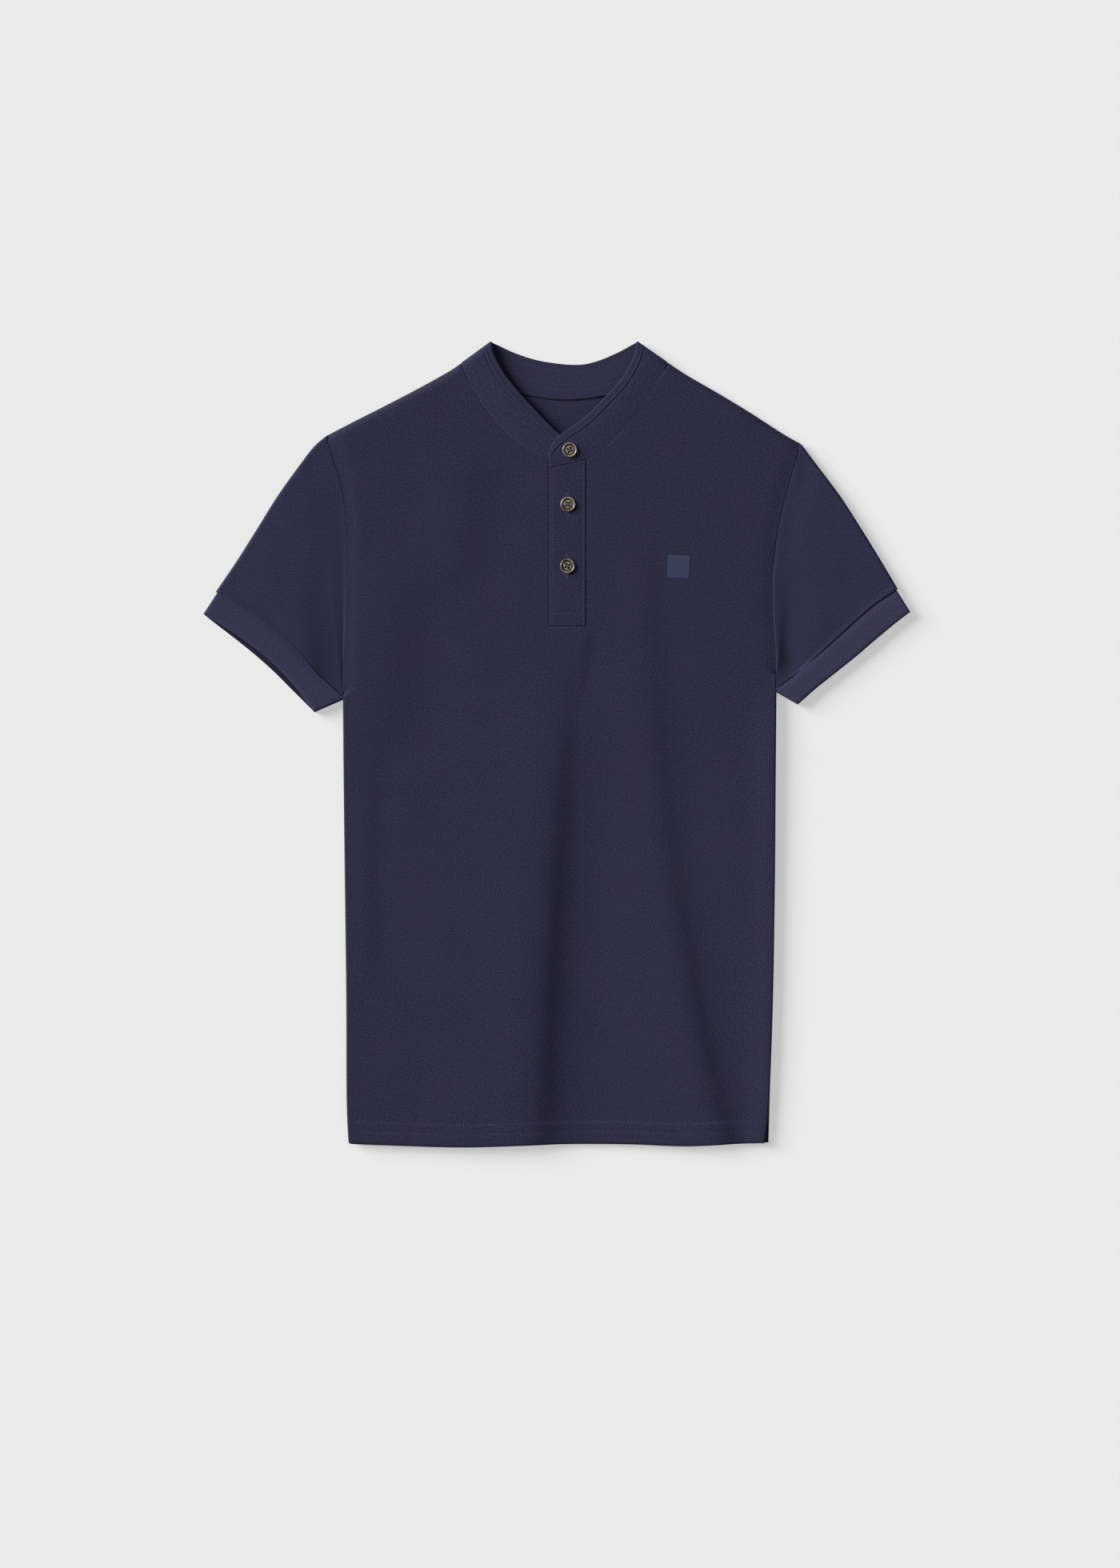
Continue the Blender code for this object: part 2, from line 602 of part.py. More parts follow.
def cuff_rings(seam_knots, edge_knots, under_edge_knots):
    """Ribbed outer rings and plain inner rings of a cuff, from its seam to its edge."""
    seam, edge, under = (smooth_curve(knots) for knots in
                         (seam_knots, edge_knots, under_edge_knots))
    length = run_of(seam)[-1]
    upper_shares = cuff_shares(length)
    fold = [step * TUBE_ROLL / length for step in ROLL_STEPS]
    flat = np.linspace(fold[-1], 1.0 - fold[-1], CUFF_UNDER_INTERVALS + 1)[1:-1]
    lower_shares = np.array(fold + list(flat) + [1.0 - share for share in reversed(fold)])
    first = len(ROLL_STEPS) - 1
    last = len(upper_shares) - 1 - first
    outer, plain = [], []
    for out in (CUFF_SEAM_GAP / CUFF_DEPTH, 0.5, 1.0):
        upper = (points_at(seam, upper_shares) * (1.0 - out) + points_at(edge, upper_shares) * out)
        lower = (points_at(seam, lower_shares) * (1.0 - out)
                 + points_at(under, lower_shares) * out)
        ring = np.array(tube_ring(upper, lower, lambda x, y: CUFF_LOFT))
        plain.append(ring.copy())
        ring[first + 1:last:2, 2] += RIB_HEIGHT
        outer.append(ring)
    partners = (list(range(first)) + list(range(first, last, RIB_POINTS_PER_INNER_POINT))
                + list(range(last, len(plain[0]))))
    inner = []
    for number, ring in enumerate(plain):
        kept = ring[partners]
        ahead = plain[min(number + 1, 2)][partners] - plain[max(number - 1, 0)][partners]
        around = np.roll(kept, -1, axis=0) - np.roll(kept, 1, axis=0)
        normal = np.cross(around, ahead)
        normal /= np.linalg.norm(normal, axis=1)[:, None]
        if normal[len(kept) // 4][2] < 0.0:
            normal = -normal
        inner.append(kept - RIB_WALL * normal)
    return outer, inner, partners


def cuff(name, seam, edge, under_edge, material, collection):
    """Ribbed cuff: the ribs stand on the outer face only, over a plain inside."""
    outer, inner, partners = cuff_rings(seam, edge, under_edge)
    bm = bmesh.new()
    outside = [[bm.verts.new(point * MM) for point in ring] for ring in outer]
    inside = [[bm.verts.new(point * MM) for point in ring] for ring in inner]
    for rings in (outside, inside):
        for low, high in zip(rings, rings[1:]):
            for i in range(len(low)):
                after = (i + 1) % len(low)
                bm.faces.new((low[i], low[after], high[after], high[i]))
    for level in (0, -1):
        ring, core = outside[level], inside[level]
        for i, start in enumerate(partners):
            after = (i + 1) % len(partners)
            stop = partners[after] if after else len(ring)
            rim = [ring[k % len(ring)] for k in range(start, stop + 1)]
            bm.faces.new(rim + [core[after], core[i]])
    bmesh.ops.recalc_face_normals(bm, faces=bm.faces)
    item = object_from(name, bm, material, collection)
    item.data.set_sharp_from_angle(angle=RIB_SHARP_ANGLE)
    return item


# ---------------------------------------------------------------- buttons

def button(name, x, y, height, material, collection, cutters):
    """Turned four-hole button with a raised rim, its underside at the given height."""
    radius = BUTTON_DIAMETER / 2
    bm = bmesh.new()
    verts = [bm.verts.new((share * radius * MM, 0.0, level * BUTTON_THICKNESS * MM))
             for share, level in BUTTON_PROFILE]
    for a, b in zip(verts, verts[1:]):
        bm.edges.new((a, b))
    item = object_from(name, bm, material, collection)
    item.location = (x * MM, y * MM, height * MM)
    turn = item.modifiers.new("Turned", "SCREW")
    turn.steps = turn.render_steps = BUTTON_SIDES
    turn.use_merge_vertices = True
    turn.merge_threshold = MERGE_DISTANCE
    bm = bmesh.new()
    for corner in range(4):
        angle = BUTTON_TURN + math.radians(45.0 + 90.0 * corner)
        made = bmesh.ops.create_cone(bm, cap_ends=True, segments=BUTTON_HOLE_SIDES,
                                     radius1=BUTTON_HOLE / 2 * MM, radius2=BUTTON_HOLE / 2 * MM,
                                     depth=3 * BUTTON_THICKNESS * MM)
        reach = BUTTON_HOLE_SPREAD * math.sqrt(2.0) * MM
        bmesh.ops.translate(bm, vec=(reach * math.cos(angle), reach * math.sin(angle), 0.0),
                            verts=made["verts"])
    holes = object_from(name + "_holes", bm, material, cutters)
    holes.location = item.location
    holes.hide_render = True
    holes.display_type = "WIRE"
    cut = item.modifiers.new("Thread holes", "BOOLEAN")
    cut.operation = "DIFFERENCE"
    cut.solver = "EXACT"
    cut.object = holes
    return item


# ---------------------------------------------------------------- the shirt

def main():
    clear_scene()
    shirt = new_collection(GARMENT)
    cutters = new_collection("cutters")
    pique = cloth_material("navy_pique", NAVY, CLOTH_ROUGHNESS)
    rib = cloth_material("navy_rib", NAVY_RIB, CLOTH_ROUGHNESS)
    band = cloth_material("navy_band", NAVY, CLOTH_ROUGHNESS)
    horn = cloth_material("horn", HORN, HORN_ROUGHNESS)

    back_panel(pique, shirt)
    front_panel(pique, shirt, cutters)
    sleeve("sleeve_left", LEFT_ARMHOLE, LEFT_SLEEVE_TOP, LEFT_CUFF_SEAM, -1,
           LEFT_SLEEVE_FOLDS, pique, shirt)
    sleeve("sleeve_right", RIGHT_ARMHOLE, RIGHT_SLEEVE_TOP, RIGHT_CUFF_SEAM, 1,
           RIGHT_SLEEVE_FOLDS, pique, shirt)
    cuff("cuff_left", LEFT_CUFF_START, LEFT_CUFF_EDGE, LEFT_CUFF_UNDER_EDGE, rib, shirt)
    cuff("cuff_right", RIGHT_CUFF_START, RIGHT_CUFF_EDGE, RIGHT_CUFF_EDGE, rib, shirt)
    collar_band(band, shirt)
    placket_strip("placket_top", PLACKET_LEFT, PLACKET_RIGHT, PLACKET_BOTTOM,
                  PLACKET_TOP_LEFT - SEAM_GAP, PLACKET_TOP_RIGHT - SEAM_GAP,
                  PLACKET_LIFT + STRIP_WALL, STRIP_WALL, pique, shirt)
    placket_strip("placket_under", PLACKET_LEFT, PLACKET_RIGHT, PLACKET_BOTTOM,
                  UNDER_STRIP_TOP, UNDER_STRIP_TOP, -PANEL_WALL - SEAM_GAP,
                  UNDER_STRIP_WALL, pique, shirt)
    on_band = sum(RIGHT_BAND_HEIGHTS[-1][1:]) / 2 + BAND_CROWN
    for number, (x, y) in enumerate(BUTTON_PLACES, start=1):
        on_strip = front_height(x, y) + PLACKET_LIFT + STRIP_WALL
        height = (on_band if number == 1 else on_strip) + SEAM_GAP
        button(f"button_{number}", x, y, height, horn, shirt, cutters)


main()
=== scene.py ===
"""Navy polo shirt laid flat on its back: cloth, sewing and buttons in place of the solids.

X runs across the shirt, Y from the hem to the collar and Z up from the surface it lies on.
Lengths are in millimetres and become metres when a mesh is made.
"""
import math

import bmesh
import bpy
import numpy as np
from mathutils import Matrix, Vector


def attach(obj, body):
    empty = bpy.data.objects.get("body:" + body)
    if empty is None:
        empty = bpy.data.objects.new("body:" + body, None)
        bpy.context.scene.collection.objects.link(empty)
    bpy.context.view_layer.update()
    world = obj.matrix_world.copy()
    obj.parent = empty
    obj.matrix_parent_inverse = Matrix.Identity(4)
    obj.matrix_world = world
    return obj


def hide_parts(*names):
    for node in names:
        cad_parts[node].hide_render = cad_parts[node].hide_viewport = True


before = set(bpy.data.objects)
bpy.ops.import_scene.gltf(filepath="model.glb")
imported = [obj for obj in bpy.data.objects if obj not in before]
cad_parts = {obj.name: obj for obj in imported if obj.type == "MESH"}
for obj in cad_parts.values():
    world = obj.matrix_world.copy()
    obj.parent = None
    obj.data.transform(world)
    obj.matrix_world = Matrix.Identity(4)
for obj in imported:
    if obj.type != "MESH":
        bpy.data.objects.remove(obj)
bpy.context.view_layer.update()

MM = 0.001

# Camera straight above the shirt
CAMERA_PLACE = (2.7, -33.4, 3000.0)
CAMERA_LENS = 82.0
CAMERA_SENSOR = 36.0

# Light from the photo's left, low and soft, and a floor that is nearly white round the cloth
WINDOW_FROM = (-0.90, 0.42, 0.442)
WINDOW_STRENGTH = 6.0
WINDOW_SPREAD = math.radians(34.0)
ROOM_LIGHT = 0.23
FLOOR_HALF_WIDTH = 20.0
FLOOR_LEVEL = -0.0001
FLOOR_GREY = 0.36
FLOOR_GLOW = 0.47

# Cloth walls
PANEL_WALL = 1.0
BAND_WALL = 1.6
CUFF_WALL = 0.8
STRIP_WALL = 0.36
UNDER_STRIP_WALL = 1.4

# Heights of the outer faces, and how they roll down to their edges
FRONT_EDGE = 1.95
FRONT_LOFT = 7.5
ARMHOLE_LOFT = 6.7
SLEEVE_SEAM_LOFT = 6.5
SLEEVE_LOFT = 7.4
CUFF_LOFT = 7.8
VENT_LIFT = 2.0
VENT_HEIGHT = 30.0
SIDE_ROLL = 1.3
ARMHOLE_ROLL = 12.0
END_ROLL = 6.0
TUBE_ROLL = 2.5
CUFF_ROLL = 1.8
RIM_RISE = 1.3
RIM_INSET = 3.0
RIM_WIDTH = 11.0
RIM_TOP = 60.0
ARMHOLE_DROPS = (0.08, 0.6)
SLEEVE_SEAM_DROPS = (0.7, 0.15)
SLEEVE_END_RISE = 0.45
CUFF_START_DROP = 0.55
CUFF_EDGE_DROP = 0.8
HEM_EDGE_DROP = 0.8
NECK_EDGE_DROP = 0.5
HEM_RISE = 0.35
BODY_WAVES = 0.16
SLEEVE_WAVES = 0.14
BACK_LAYER_GAP = 0.15
BACK_EDGE_DROP = 0.5
BACK_SHARE_OF_FOLDS = 0.12

# Seams: how far pieces lie apart, and how far one goes under the next
SEAM_GAP = 0.3
BACK_SEAM_LAP = 1.5
BACK_SEAM_LIFT = 0.5
NECK_MARGIN = 1.0
ARMHOLE_LAP = 0.8
ARMHOLE_LAP_EASE = 0.2

# Points (x, y) in plan where outlines meet
LEFT_HEM_CORNER = (-174.8, -335.0)
LEFT_ARMPIT = (-179.6, 41.0)
RIGHT_ARMPIT = (184.6, 58.0)
LEFT_SHOULDER_TIP = (-193.4, 258.8)
RIGHT_SHOULDER_TIP = (205.0, 252.0)
LEFT_NECK_POINT = (-80.5, 319.7)
RIGHT_NECK_POINT = (93.1, 320.4)
LEFT_BAND_FOLD = (-55.4, 337.8)
RIGHT_BAND_FOLD = (67.7, 337.9)
LEFT_CUFF_FOLD = (-286.1, 127.8)
RIGHT_CUFF_FOLD = (286.1, 130.3)
LEFT_CUFF_TIP = (-296.5, 109.1)
LEFT_CUFF_FOOT = (-203.2, 26.7)

# Outlines in plan: sides from the hem to the armpit, armholes up to the shoulder tip
LEFT_SIDE = [LEFT_HEM_CORNER, (-176.5, -296.0), (-176.8, -215.0), (-178.0, -114.0),
             (-179.0, -30.0), LEFT_ARMPIT]
RIGHT_SIDE = [(174.5, -335.0), (178.5, -296.0), (181.5, -215.0), (183.2, -114.0),
              (183.8, -30.0), RIGHT_ARMPIT]
RIGHT_SIDE_BACK = [(177.8, -335.0), (178.9, -296.0)] + RIGHT_SIDE[2:]
LEFT_ARMHOLE = [LEFT_ARMPIT, (-178.6, 80.0), (-177.0, 121.0), (-175.6, 161.0),
                (-176.0, 186.0), (-179.6, 214.7), (-185.3, 234.2), LEFT_SHOULDER_TIP]
RIGHT_ARMHOLE = [RIGHT_ARMPIT, (183.9, 82.0), (181.3, 115.0), (181.4, 145.0),
                 (184.6, 172.0), (191.6, 205.0), (198.5, 230.0), RIGHT_SHOULDER_TIP]
LEFT_SHOULDER = [LEFT_SHOULDER_TIP, (-170.0, 271.0), (-144.7, 283.8), (-118.0, 297.7),
                 (-91.1, 312.6), LEFT_NECK_POINT]
RIGHT_SHOULDER = [RIGHT_NECK_POINT, (110.0, 309.3), (136.7, 293.9), (163.5, 277.6),
                  (190.0, 260.5), RIGHT_SHOULDER_TIP]
HEM = [LEFT_HEM_CORNER, (-145.0, -336.2), (-78.0, -337.9), (0.0, -335.6), (60.0, -335.6),
       (107.0, -337.1), (150.0, -335.2), (177.8, -334.4)]
FRONT_NECKLINE = [LEFT_NECK_POINT, (-75.4, 305.5), (-62.4, 282.6), (-43.6, 260.8),
                  (-23.2, 245.2), (-8.7, 239.0), (8.0, 236.6), (24.8, 239.0), (40.7, 248.7),
                  (58.2, 265.2), (75.6, 288.0), (88.0, 308.5), RIGHT_NECK_POINT]
BACK_NECKLINE = [LEFT_NECK_POINT, (-55.0, 304.5), (-26.4, 294.5), (9.4, 290.2),
                 (47.6, 295.3), (72.0, 305.5), RIGHT_NECK_POINT]

# Band collar: free edges, and heights of seam and free edge by share of the way to the end
BACK_BAND_EDGE = [LEFT_BAND_FOLD, (-34.8, 328.2), (-13.4, 321.7), (13.4, 318.5),
                  (31.0, 320.7), (50.9, 328.6), RIGHT_BAND_FOLD]
LEFT_BAND_EDGE = [LEFT_BAND_FOLD, (-52.0, 325.5), (-43.6, 310.3), (-31.9, 295.6),
                  (-17.4, 279.7), (0.0, 262.2), (12.0, 255.0), (24.0, 252.0)]
RIGHT_BAND_EDGE = [RIGHT_BAND_FOLD, (63.8, 323.3), (53.8, 305.9), (39.3, 289.9),
                   (23.3, 273.9), (5.9, 261.6), (-2.5, 254.0), (-6.6, 246.0)]
BAND_ON_PLACKET = [(14.6, 236.1), (4.1, 233.9), (-6.6, 231.6)]
BAND_WIDTH = 27.5
BAND_FOLD_AT_SEAM = 3.3
BAND_FOLD_AT_EDGE = 5.5
BAND_CROWN = 0.3
LEFT_BAND_HEIGHTS = [(0.0, 7.5, 8.6), (0.4, 7.5, 8.4), (0.72, 7.4, 7.5), (1.0, 6.9, 6.9)]
RIGHT_BAND_HEIGHTS = [(0.0, 7.5, 8.1), (0.74, 7.5, 8.4), (0.82, 7.9, 8.5), (1.0, 8.0, 8.5)]
WELT_INSET = 6.0
WELT_INSET_AT_END = 2.6
WELT_GROOVE_INSET = 7.15
BACK_BAND_ROWS = (6.2, 17.0, 21.5)

# Placket
PLACKET_LEFT = -6.0
PLACKET_RIGHT = 24.1
PLACKET_BOTTOM = 99.0
PLACKET_TOP_LEFT = 233.2
PLACKET_TOP_RIGHT = 240.5
PLACKET_LIFT = 0.42
PLACKET_EDGE_DROP = 0.22
UNDER_STRIP_TOP = 235.6
UNDER_STRIP_LIFT = -1.5
SLIT_MARGIN = 2.8
PLACKET_GROOVES = (1.9, 2.2)
PLACKET_ROWS = (2.0, 2.2)
PLACKET_BOX_ROW = 10.3
PLACKET_FOOT_ROW = 1.7

# Sleeves and cuffs
LEFT_SLEEVE_TOP = [LEFT_SHOULDER_TIP, (-203.5, 250.0), (-215.5, 234.6), (-234.6, 207.8),
                   (-251.3, 181.0), (-268.2, 154.2), LEFT_CUFF_FOLD]
RIGHT_SLEEVE_TOP = [RIGHT_SHOULDER_TIP, (218.1, 234.6), (238.1, 207.8), (255.4, 181.0),
                    (271.9, 154.2), RIGHT_CUFF_FOLD]
LEFT_CUFF_SEAM = [LEFT_CUFF_FOLD, (-263.3, 114.8), (-245.4, 101.9), (-227.5, 86.4),
                  (-212.9, 71.8), (-196.0, 53.0), (-179.0, 37.0)]
RIGHT_CUFF_SEAM = [RIGHT_CUFF_FOLD, (264.1, 115.2), (244.7, 98.2), (228.4, 83.4),
                   (212.2, 69.1), (197.0, 56.9), (182.5, 46.5)]
LEFT_CUFF_START = [(-285.2, 126.6)] + LEFT_CUFF_SEAM[1:-1] + [(-178.5, 37.5)]
RIGHT_CUFF_START = [(285.2, 129.1)] + RIGHT_CUFF_SEAM[1:-2] + [(197.0, 56.0), (181.5, 45.0)]
LEFT_CUFF_EDGE = [LEFT_CUFF_TIP, (-270.7, 92.9), (-251.9, 79.6), (-235.0, 65.0),
                  (-220.3, 49.3), (-211.0, 37.0), LEFT_CUFF_FOOT]
LEFT_CUFF_UNDER_EDGE = [LEFT_CUFF_TIP, (-285.8, 100.6), (-268.4, 87.2), (-251.9, 73.8),
                        (-237.0, 60.4), (-223.6, 47.0), LEFT_CUFF_FOOT]
RIGHT_CUFF_EDGE = [(296.5, 111.0), (283.0, 100.6), (266.9, 87.2), (251.3, 73.8),
                   (234.6, 60.4), (217.5, 46.8), (202.1, 33.2)]
CUFF_RIBS = 86
CUFF_PLAIN_SHARE = 0.03
RIB_PITCH = 1.5
RIB_HEIGHT = 0.12
CUFF_DEPTH = 22.0

# Buttons and the chest patch
BUTTON_DIAMETER = 12.6
BUTTON_THICKNESS = 2.6
BUTTON_PLACES = [(10.9, 246.4), (9.4, 200.9), (9.0, 149.2)]
BUTTON_SINK = 0.6
BUTTON_HOLE = 1.9
BUTTON_HOLE_REACH = 1.95
BUTTON_TURNS = (22.0, -3.0, -14.0)
BUTTON_THREAD_WIDTH = 0.36
BUTTON_THREAD_OFFSET = 0.2
BUTTON_THREAD_REACH = 0.80
# Half of a button's section as shares of its radius and thickness: dish, groove, rim, underside
BUTTON_SECTION = [(0.0, 0.66), (0.50, 0.66), (0.56, 0.62), (0.61, 0.50), (0.65, 0.45),
                  (0.69, 0.50), (0.73, 0.68), (0.77, 0.84), (0.82, 0.95), (0.87, 1.0),
                  (0.92, 0.96), (0.96, 0.84), (0.99, 0.66), (1.0, 0.48), (0.98, 0.34),
                  (0.92, 0.18), (0.80, 0.04), (0.70, 0.0), (0.0, 0.0)]
BUTTON_DISH_LEVEL = BUTTON_SECTION[0][1]
# Buttonholes by button: turn, middle from the button's, half length
BUTTONHOLES = [(0.0, (5.0, -0.4), 8.0), (90.0, (-0.6, 0.0), 9.8), (90.0, (-0.6, 0.0), 9.8)]
PATCH_CENTRE = (101.5, 148.9)
PATCH_SIZE = (18.2, 18.8)
PATCH_TURN = math.radians(-3.0)

# Sewing
STITCH_PITCH = 3.0
STITCH_LENGTH = 2.3
THREAD_WIDTH = 0.42
BUTTONHOLE_STITCH_PITCH = 0.5
HEM_DEPTH = 20.0
LEFT_CORNER_RISE = 2.0
HEM_ROWS = (10.9, 18.9)
# Stretches of the hem where its stitches stand out of the knit: middle, reach, share
HEM_PROUD = [(-151.0, 18.0, 1.0), (-84.0, 32.0, 1.0), (50.0, 35.0, 0.45), (125.0, 25.0, 0.3)]

# Long soft folds by the line down their falling flank, which faces photo right. Columns: start,
# middle and end of the line (x, y), half of the fall at each, reach to either side of the
# line, reach over which the cloth comes level again, length the fold fades in over
FLANKS = [
    ((17.0, 100.0), (0.5, -120.0), (-9.0, -345.0), (0.3, 1.4, 0.9), 9.0, 40.0, 50.0),
    ((20.0, 60.0), (6.0, -130.0), (-4.0, -345.0), (0.4, 2.8, 2.8), 24.0, 105.0, 90.0),
    ((82.0, 190.0), (96.0, -80.0), (149.0, -345.0), (0.3, 0.9, 1.2), 9.0, 30.0, 60.0),
    ((92.0, 100.0), (108.0, -120.0), (152.0, -345.0), (0.3, 1.5, 2.0), 26.0, 60.0, 90.0),
    ((-125.0, 165.0), (-128.0, 65.0), (-142.0, -40.0), (0.2, 1.3, 0.2), 24.0, 50.0, 50.0),
    ((-60.0, 262.0), (-66.0, 180.0), (-80.0, 110.0), (0.2, 1.0, 0.2), 18.0, 36.0, 40.0),
    ((-150.0, 10.0), (-154.0, -110.0), (-150.0, -230.0), (0.1, 0.5, 0.2), 8.0, 16.0, 50.0),
    ((27.0, 98.0), (25.0, 80.0), (20.0, 40.0), (0.4, 0.4, 0.1), 4.5, 10.0, 8.0),
]
# The two wide folds, which show in the back too
WIDE_FLANKS = FLANKS[1:4:2]
# Faint creases as short troughs: both ends, depth, width
CREASES = [
    ((-165.0, -50.0), (-40.0, -37.0), 0.22, 2.0),
    ((-119.0, -345.0), (-119.0, -290.0), 0.25, 2.2),
    ((-104.0, 80.0), (-60.0, 40.0), 0.15, 3.0),
    ((60.0, 60.0), (150.0, 82.0), 0.15, 3.0),
]
LEFT_SLEEVE_FLANKS = [
    ((-205.0, 225.0), (-203.0, 135.0), (-199.0, 28.0), (0.3, 1.2, 3.0), 14.0, 30.0, 30.0),
    ((-236.0, 195.0), (-230.0, 140.0), (-222.0, 90.0), (0.2, 0.7, 0.3), 14.0, 30.0, 30.0),
]
RIGHT_SLEEVE_FLANKS = [
    ((208.0, 243.0), (188.0, 150.0), (190.0, 56.0), (0.5, 0.7, 3.2), 6.5, 18.0, 15.0),
]

NAVY = (0.0220, 0.0222, 0.0498)
NAVY_PURPLE = (0.0248, 0.0221, 0.0485)
NAVY_THREAD = (0.060, 0.058, 0.110)
BUTTON_THREAD = (0.022, 0.021, 0.034)
PATCH_BLUE = (0.042, 0.050, 0.104)
HORN_RIM = ((0.080, 0.054, 0.034), (0.270, 0.212, 0.150))
HORN_DISH = ((0.150, 0.126, 0.104), (0.240, 0.206, 0.164))
# Painted shade for the groove of the buttons
HORN_GROOVE_PAINTED_SHADE = (0.022, 0.014, 0.010)
WEAVE_DARK = 0.62
WEAVE_LIGHT = 1.42
PIQUE_DEPTH = 0.00016
# Raised cells of the pique: pitch of level rows, and radians a millimetre of slanting ones
PIQUE_ROW_PITCH = 1.45
PIQUE_UP = 3.45
PIQUE_ACROSS = 2.15
KNIT_DEPTH = 0.00015
KNIT_PITCH = 1.5


# ---------------------------------------------------------------- curves and heights

def smooth_curve(knots, steps=24):
    """Closely spaced points on a smooth curve through the knots."""
    points = [np.array(knot, dtype=float) for knot in knots]
    points = [2 * points[0] - points[1]] + points + [2 * points[-1] - points[-2]]
    curve = []
    for a, b, c, d in zip(points, points[1:], points[2:], points[3:]):
        for t in np.linspace(0.0, 1.0, steps, endpoint=False):
            curve.append(b + 0.5 * t * (c - a + t * (2 * a - 5 * b + 4 * c - d
                                                     + t * (3 * (b - c) + d - a))))
    curve.append(points[-2])
    return np.array(curve)


def run_of(curve):
    """Way along the curve to each of its points."""
    steps = np.linalg.norm(np.diff(curve, axis=0), axis=1)
    return np.concatenate([[0.0], np.cumsum(steps)])


def points_at(curve, shares):
    """Points at shares of the curve's length."""
    run = run_of(curve)
    where = np.asarray(shares) * run[-1]
    return np.stack([np.interp(where, run, curve[:, axis])
                     for axis in range(curve.shape[1])], axis=1)


def fine_ends(ends, low, high, count):
    """Shares from 0 to 1: the ends' own, the same from the other end, and even ones between."""
    ends = np.array(ends)
    return np.concatenate([ends, np.linspace(low, high, count), 1.0 - ends[::-1]])


def quarter_round(t):
    """Rises from 0 to 1 as a quarter of a circle does, steep at first."""
    t = np.clip(t, 0.0, 1.0)
    return np.sqrt(1.0 - (1.0 - t) ** 2)


def ease(t):
    """Rises from 0 to 1, level at both ends."""
    t = np.clip(t, 0.0, 1.0)
    return t * t * (3.0 - 2.0 * t)


def ridge(distance, width):
    return np.exp(-(distance / width) ** 2)


def through_three(start, middle, end, t):
    """A value that passes through three given ones as t goes from 0 to 1."""
    return start * (2 * t - 1) * (t - 1) + middle * 4 * t * (1 - t) + end * t * (2 * t - 1)


def relief(flanks, x, y):
    """Height that the long folds add at points of the cloth."""
    height = np.zeros(np.broadcast(x, y).shape)
    for start, middle, end, falls, reach, back, fade in flanks:
        t = np.clip((start[1] - y) / (start[1] - end[1]), 0.0, 1.0)
        offset = x - through_three(start[0], middle[0], end[0], t)
        past_hem = end[1] < LEFT_HEM_CORNER[1]
        ends = ease((start[1] - y) / fade) * ease((y - end[1]) / fade + past_hem)
        height = height - (through_three(*falls, t) * ends * np.tanh(offset / reach)
                           * ridge(offset, back))
    return height


def crease_depth(x, y):
    depth = np.zeros(np.broadcast(x, y).shape)
    for (x0, y0), (x1, y1), deep, width in CREASES:
        length = math.hypot(x1 - x0, y1 - y0)
        along = ((x - x0) * (x1 - x0) + (y - y0) * (y1 - y0)) / length ** 2
        aside = ((x - x0) * (y1 - y0) - (y - y0) * (x1 - x0)) / length
        ends = ease(along / 0.3) * ease((1.0 - along) / 0.3)
        depth = depth + deep * ends * ridge(aside + 3.0 * np.sin(along * 7.0), width)
    return depth


def ripple(x, y, size, seed):
    """Low uneven waves of cloth that was smoothed by hand, about -1 to 1."""
    total = np.zeros(np.broadcast(x, y).shape)
    for number in range(5):
        turn = seed * 1.7 + number * 2.399
        wave = size * (0.7 + 0.33 * number)
        along = x * math.cos(turn) * 1.25 + y * math.sin(turn) * 0.8
        total = total + np.sin(2 * math.pi * along / wave + seed + number * 1.3)
    return total / 5


HEM_CURVE = smooth_curve(HEM)


def above_hem(x, y):
    return y - np.interp(x, HEM_CURVE[:, 0], HEM_CURVE[:, 1])


def front_height(x, y):
    """Outer face of the front away from its sides and shoulders."""
    up = above_hem(x, y)
    hem = HEM_RISE * (1.0 - ease((up - HEM_DEPTH + 1.5) / 1.5))
    hem = hem - sum(0.22 * ridge(up - row, 0.9) for row in HEM_ROWS)
    return (FRONT_LOFT + relief(FLANKS, x, y) - crease_depth(x, y)
            + BODY_WAVES * ripple(x, y, 46.0, 1.0) + hem)


# ---------------------------------------------------------------- meshes

shirt = bpy.data.collections.new("polo_shirt_dressed")
bpy.context.scene.collection.children.link(shirt)


def object_of(name, bm, home):
    """An object in a collection, with the bmesh as its mesh."""
    mesh = bpy.data.meshes.new(name)
    bm.to_mesh(mesh)
    bm.free()
    item = bpy.data.objects.new(name, mesh)
    home.objects.link(item)
    return item


def add_piece(name, bm, material, slot, *stands_for):
    """A piece of the shirt that hides the CAD nodes it replaces. Its record slot is not used."""
    piece = object_of(name, bm, shirt)
    piece.data.shade_smooth()
    piece.data.materials.append(material)
    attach(piece, "root")
    if stands_for:
        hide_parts(*stands_for)
    return piece


def cloth_grid(points, weave, closed=False):
    """A grid whose rows and columns go to points, with weave as its UV in millimetres."""
    rows, columns = points.shape[:2]
    bm = bmesh.new()
    bmesh.ops.create_grid(bm, x_segments=columns - 1, y_segments=rows - 1, size=0.5)
    layer = bm.loops.layers.uv.new("cloth")
    places = {}
    for vert in bm.verts:
        places[vert] = (round((vert.co.y + 0.5) * (rows - 1)),
                        round((vert.co.x + 0.5) * (columns - 1)))
    for face in bm.faces:
        for loop in face.loops:
            loop[layer].uv = weave[places[loop.vert]] * 0.1
    for vert, place in places.items():
        vert.co = points[place] * MM
    if closed:
        bmesh.ops.remove_doubles(bm, verts=bm.verts, dist=0.00001)
    return bm


def thicken(piece, wall):
    shell = piece.modifiers.new("Wall", "SOLIDIFY")
    shell.thickness = wall * MM
    shell.offset = -1.0
    shell.use_even_offset = False
    return shell


def stacked(*arrays):
    return np.stack(np.broadcast_arrays(*arrays), axis=-1)


# ---------------------------------------------------------------- shader benches

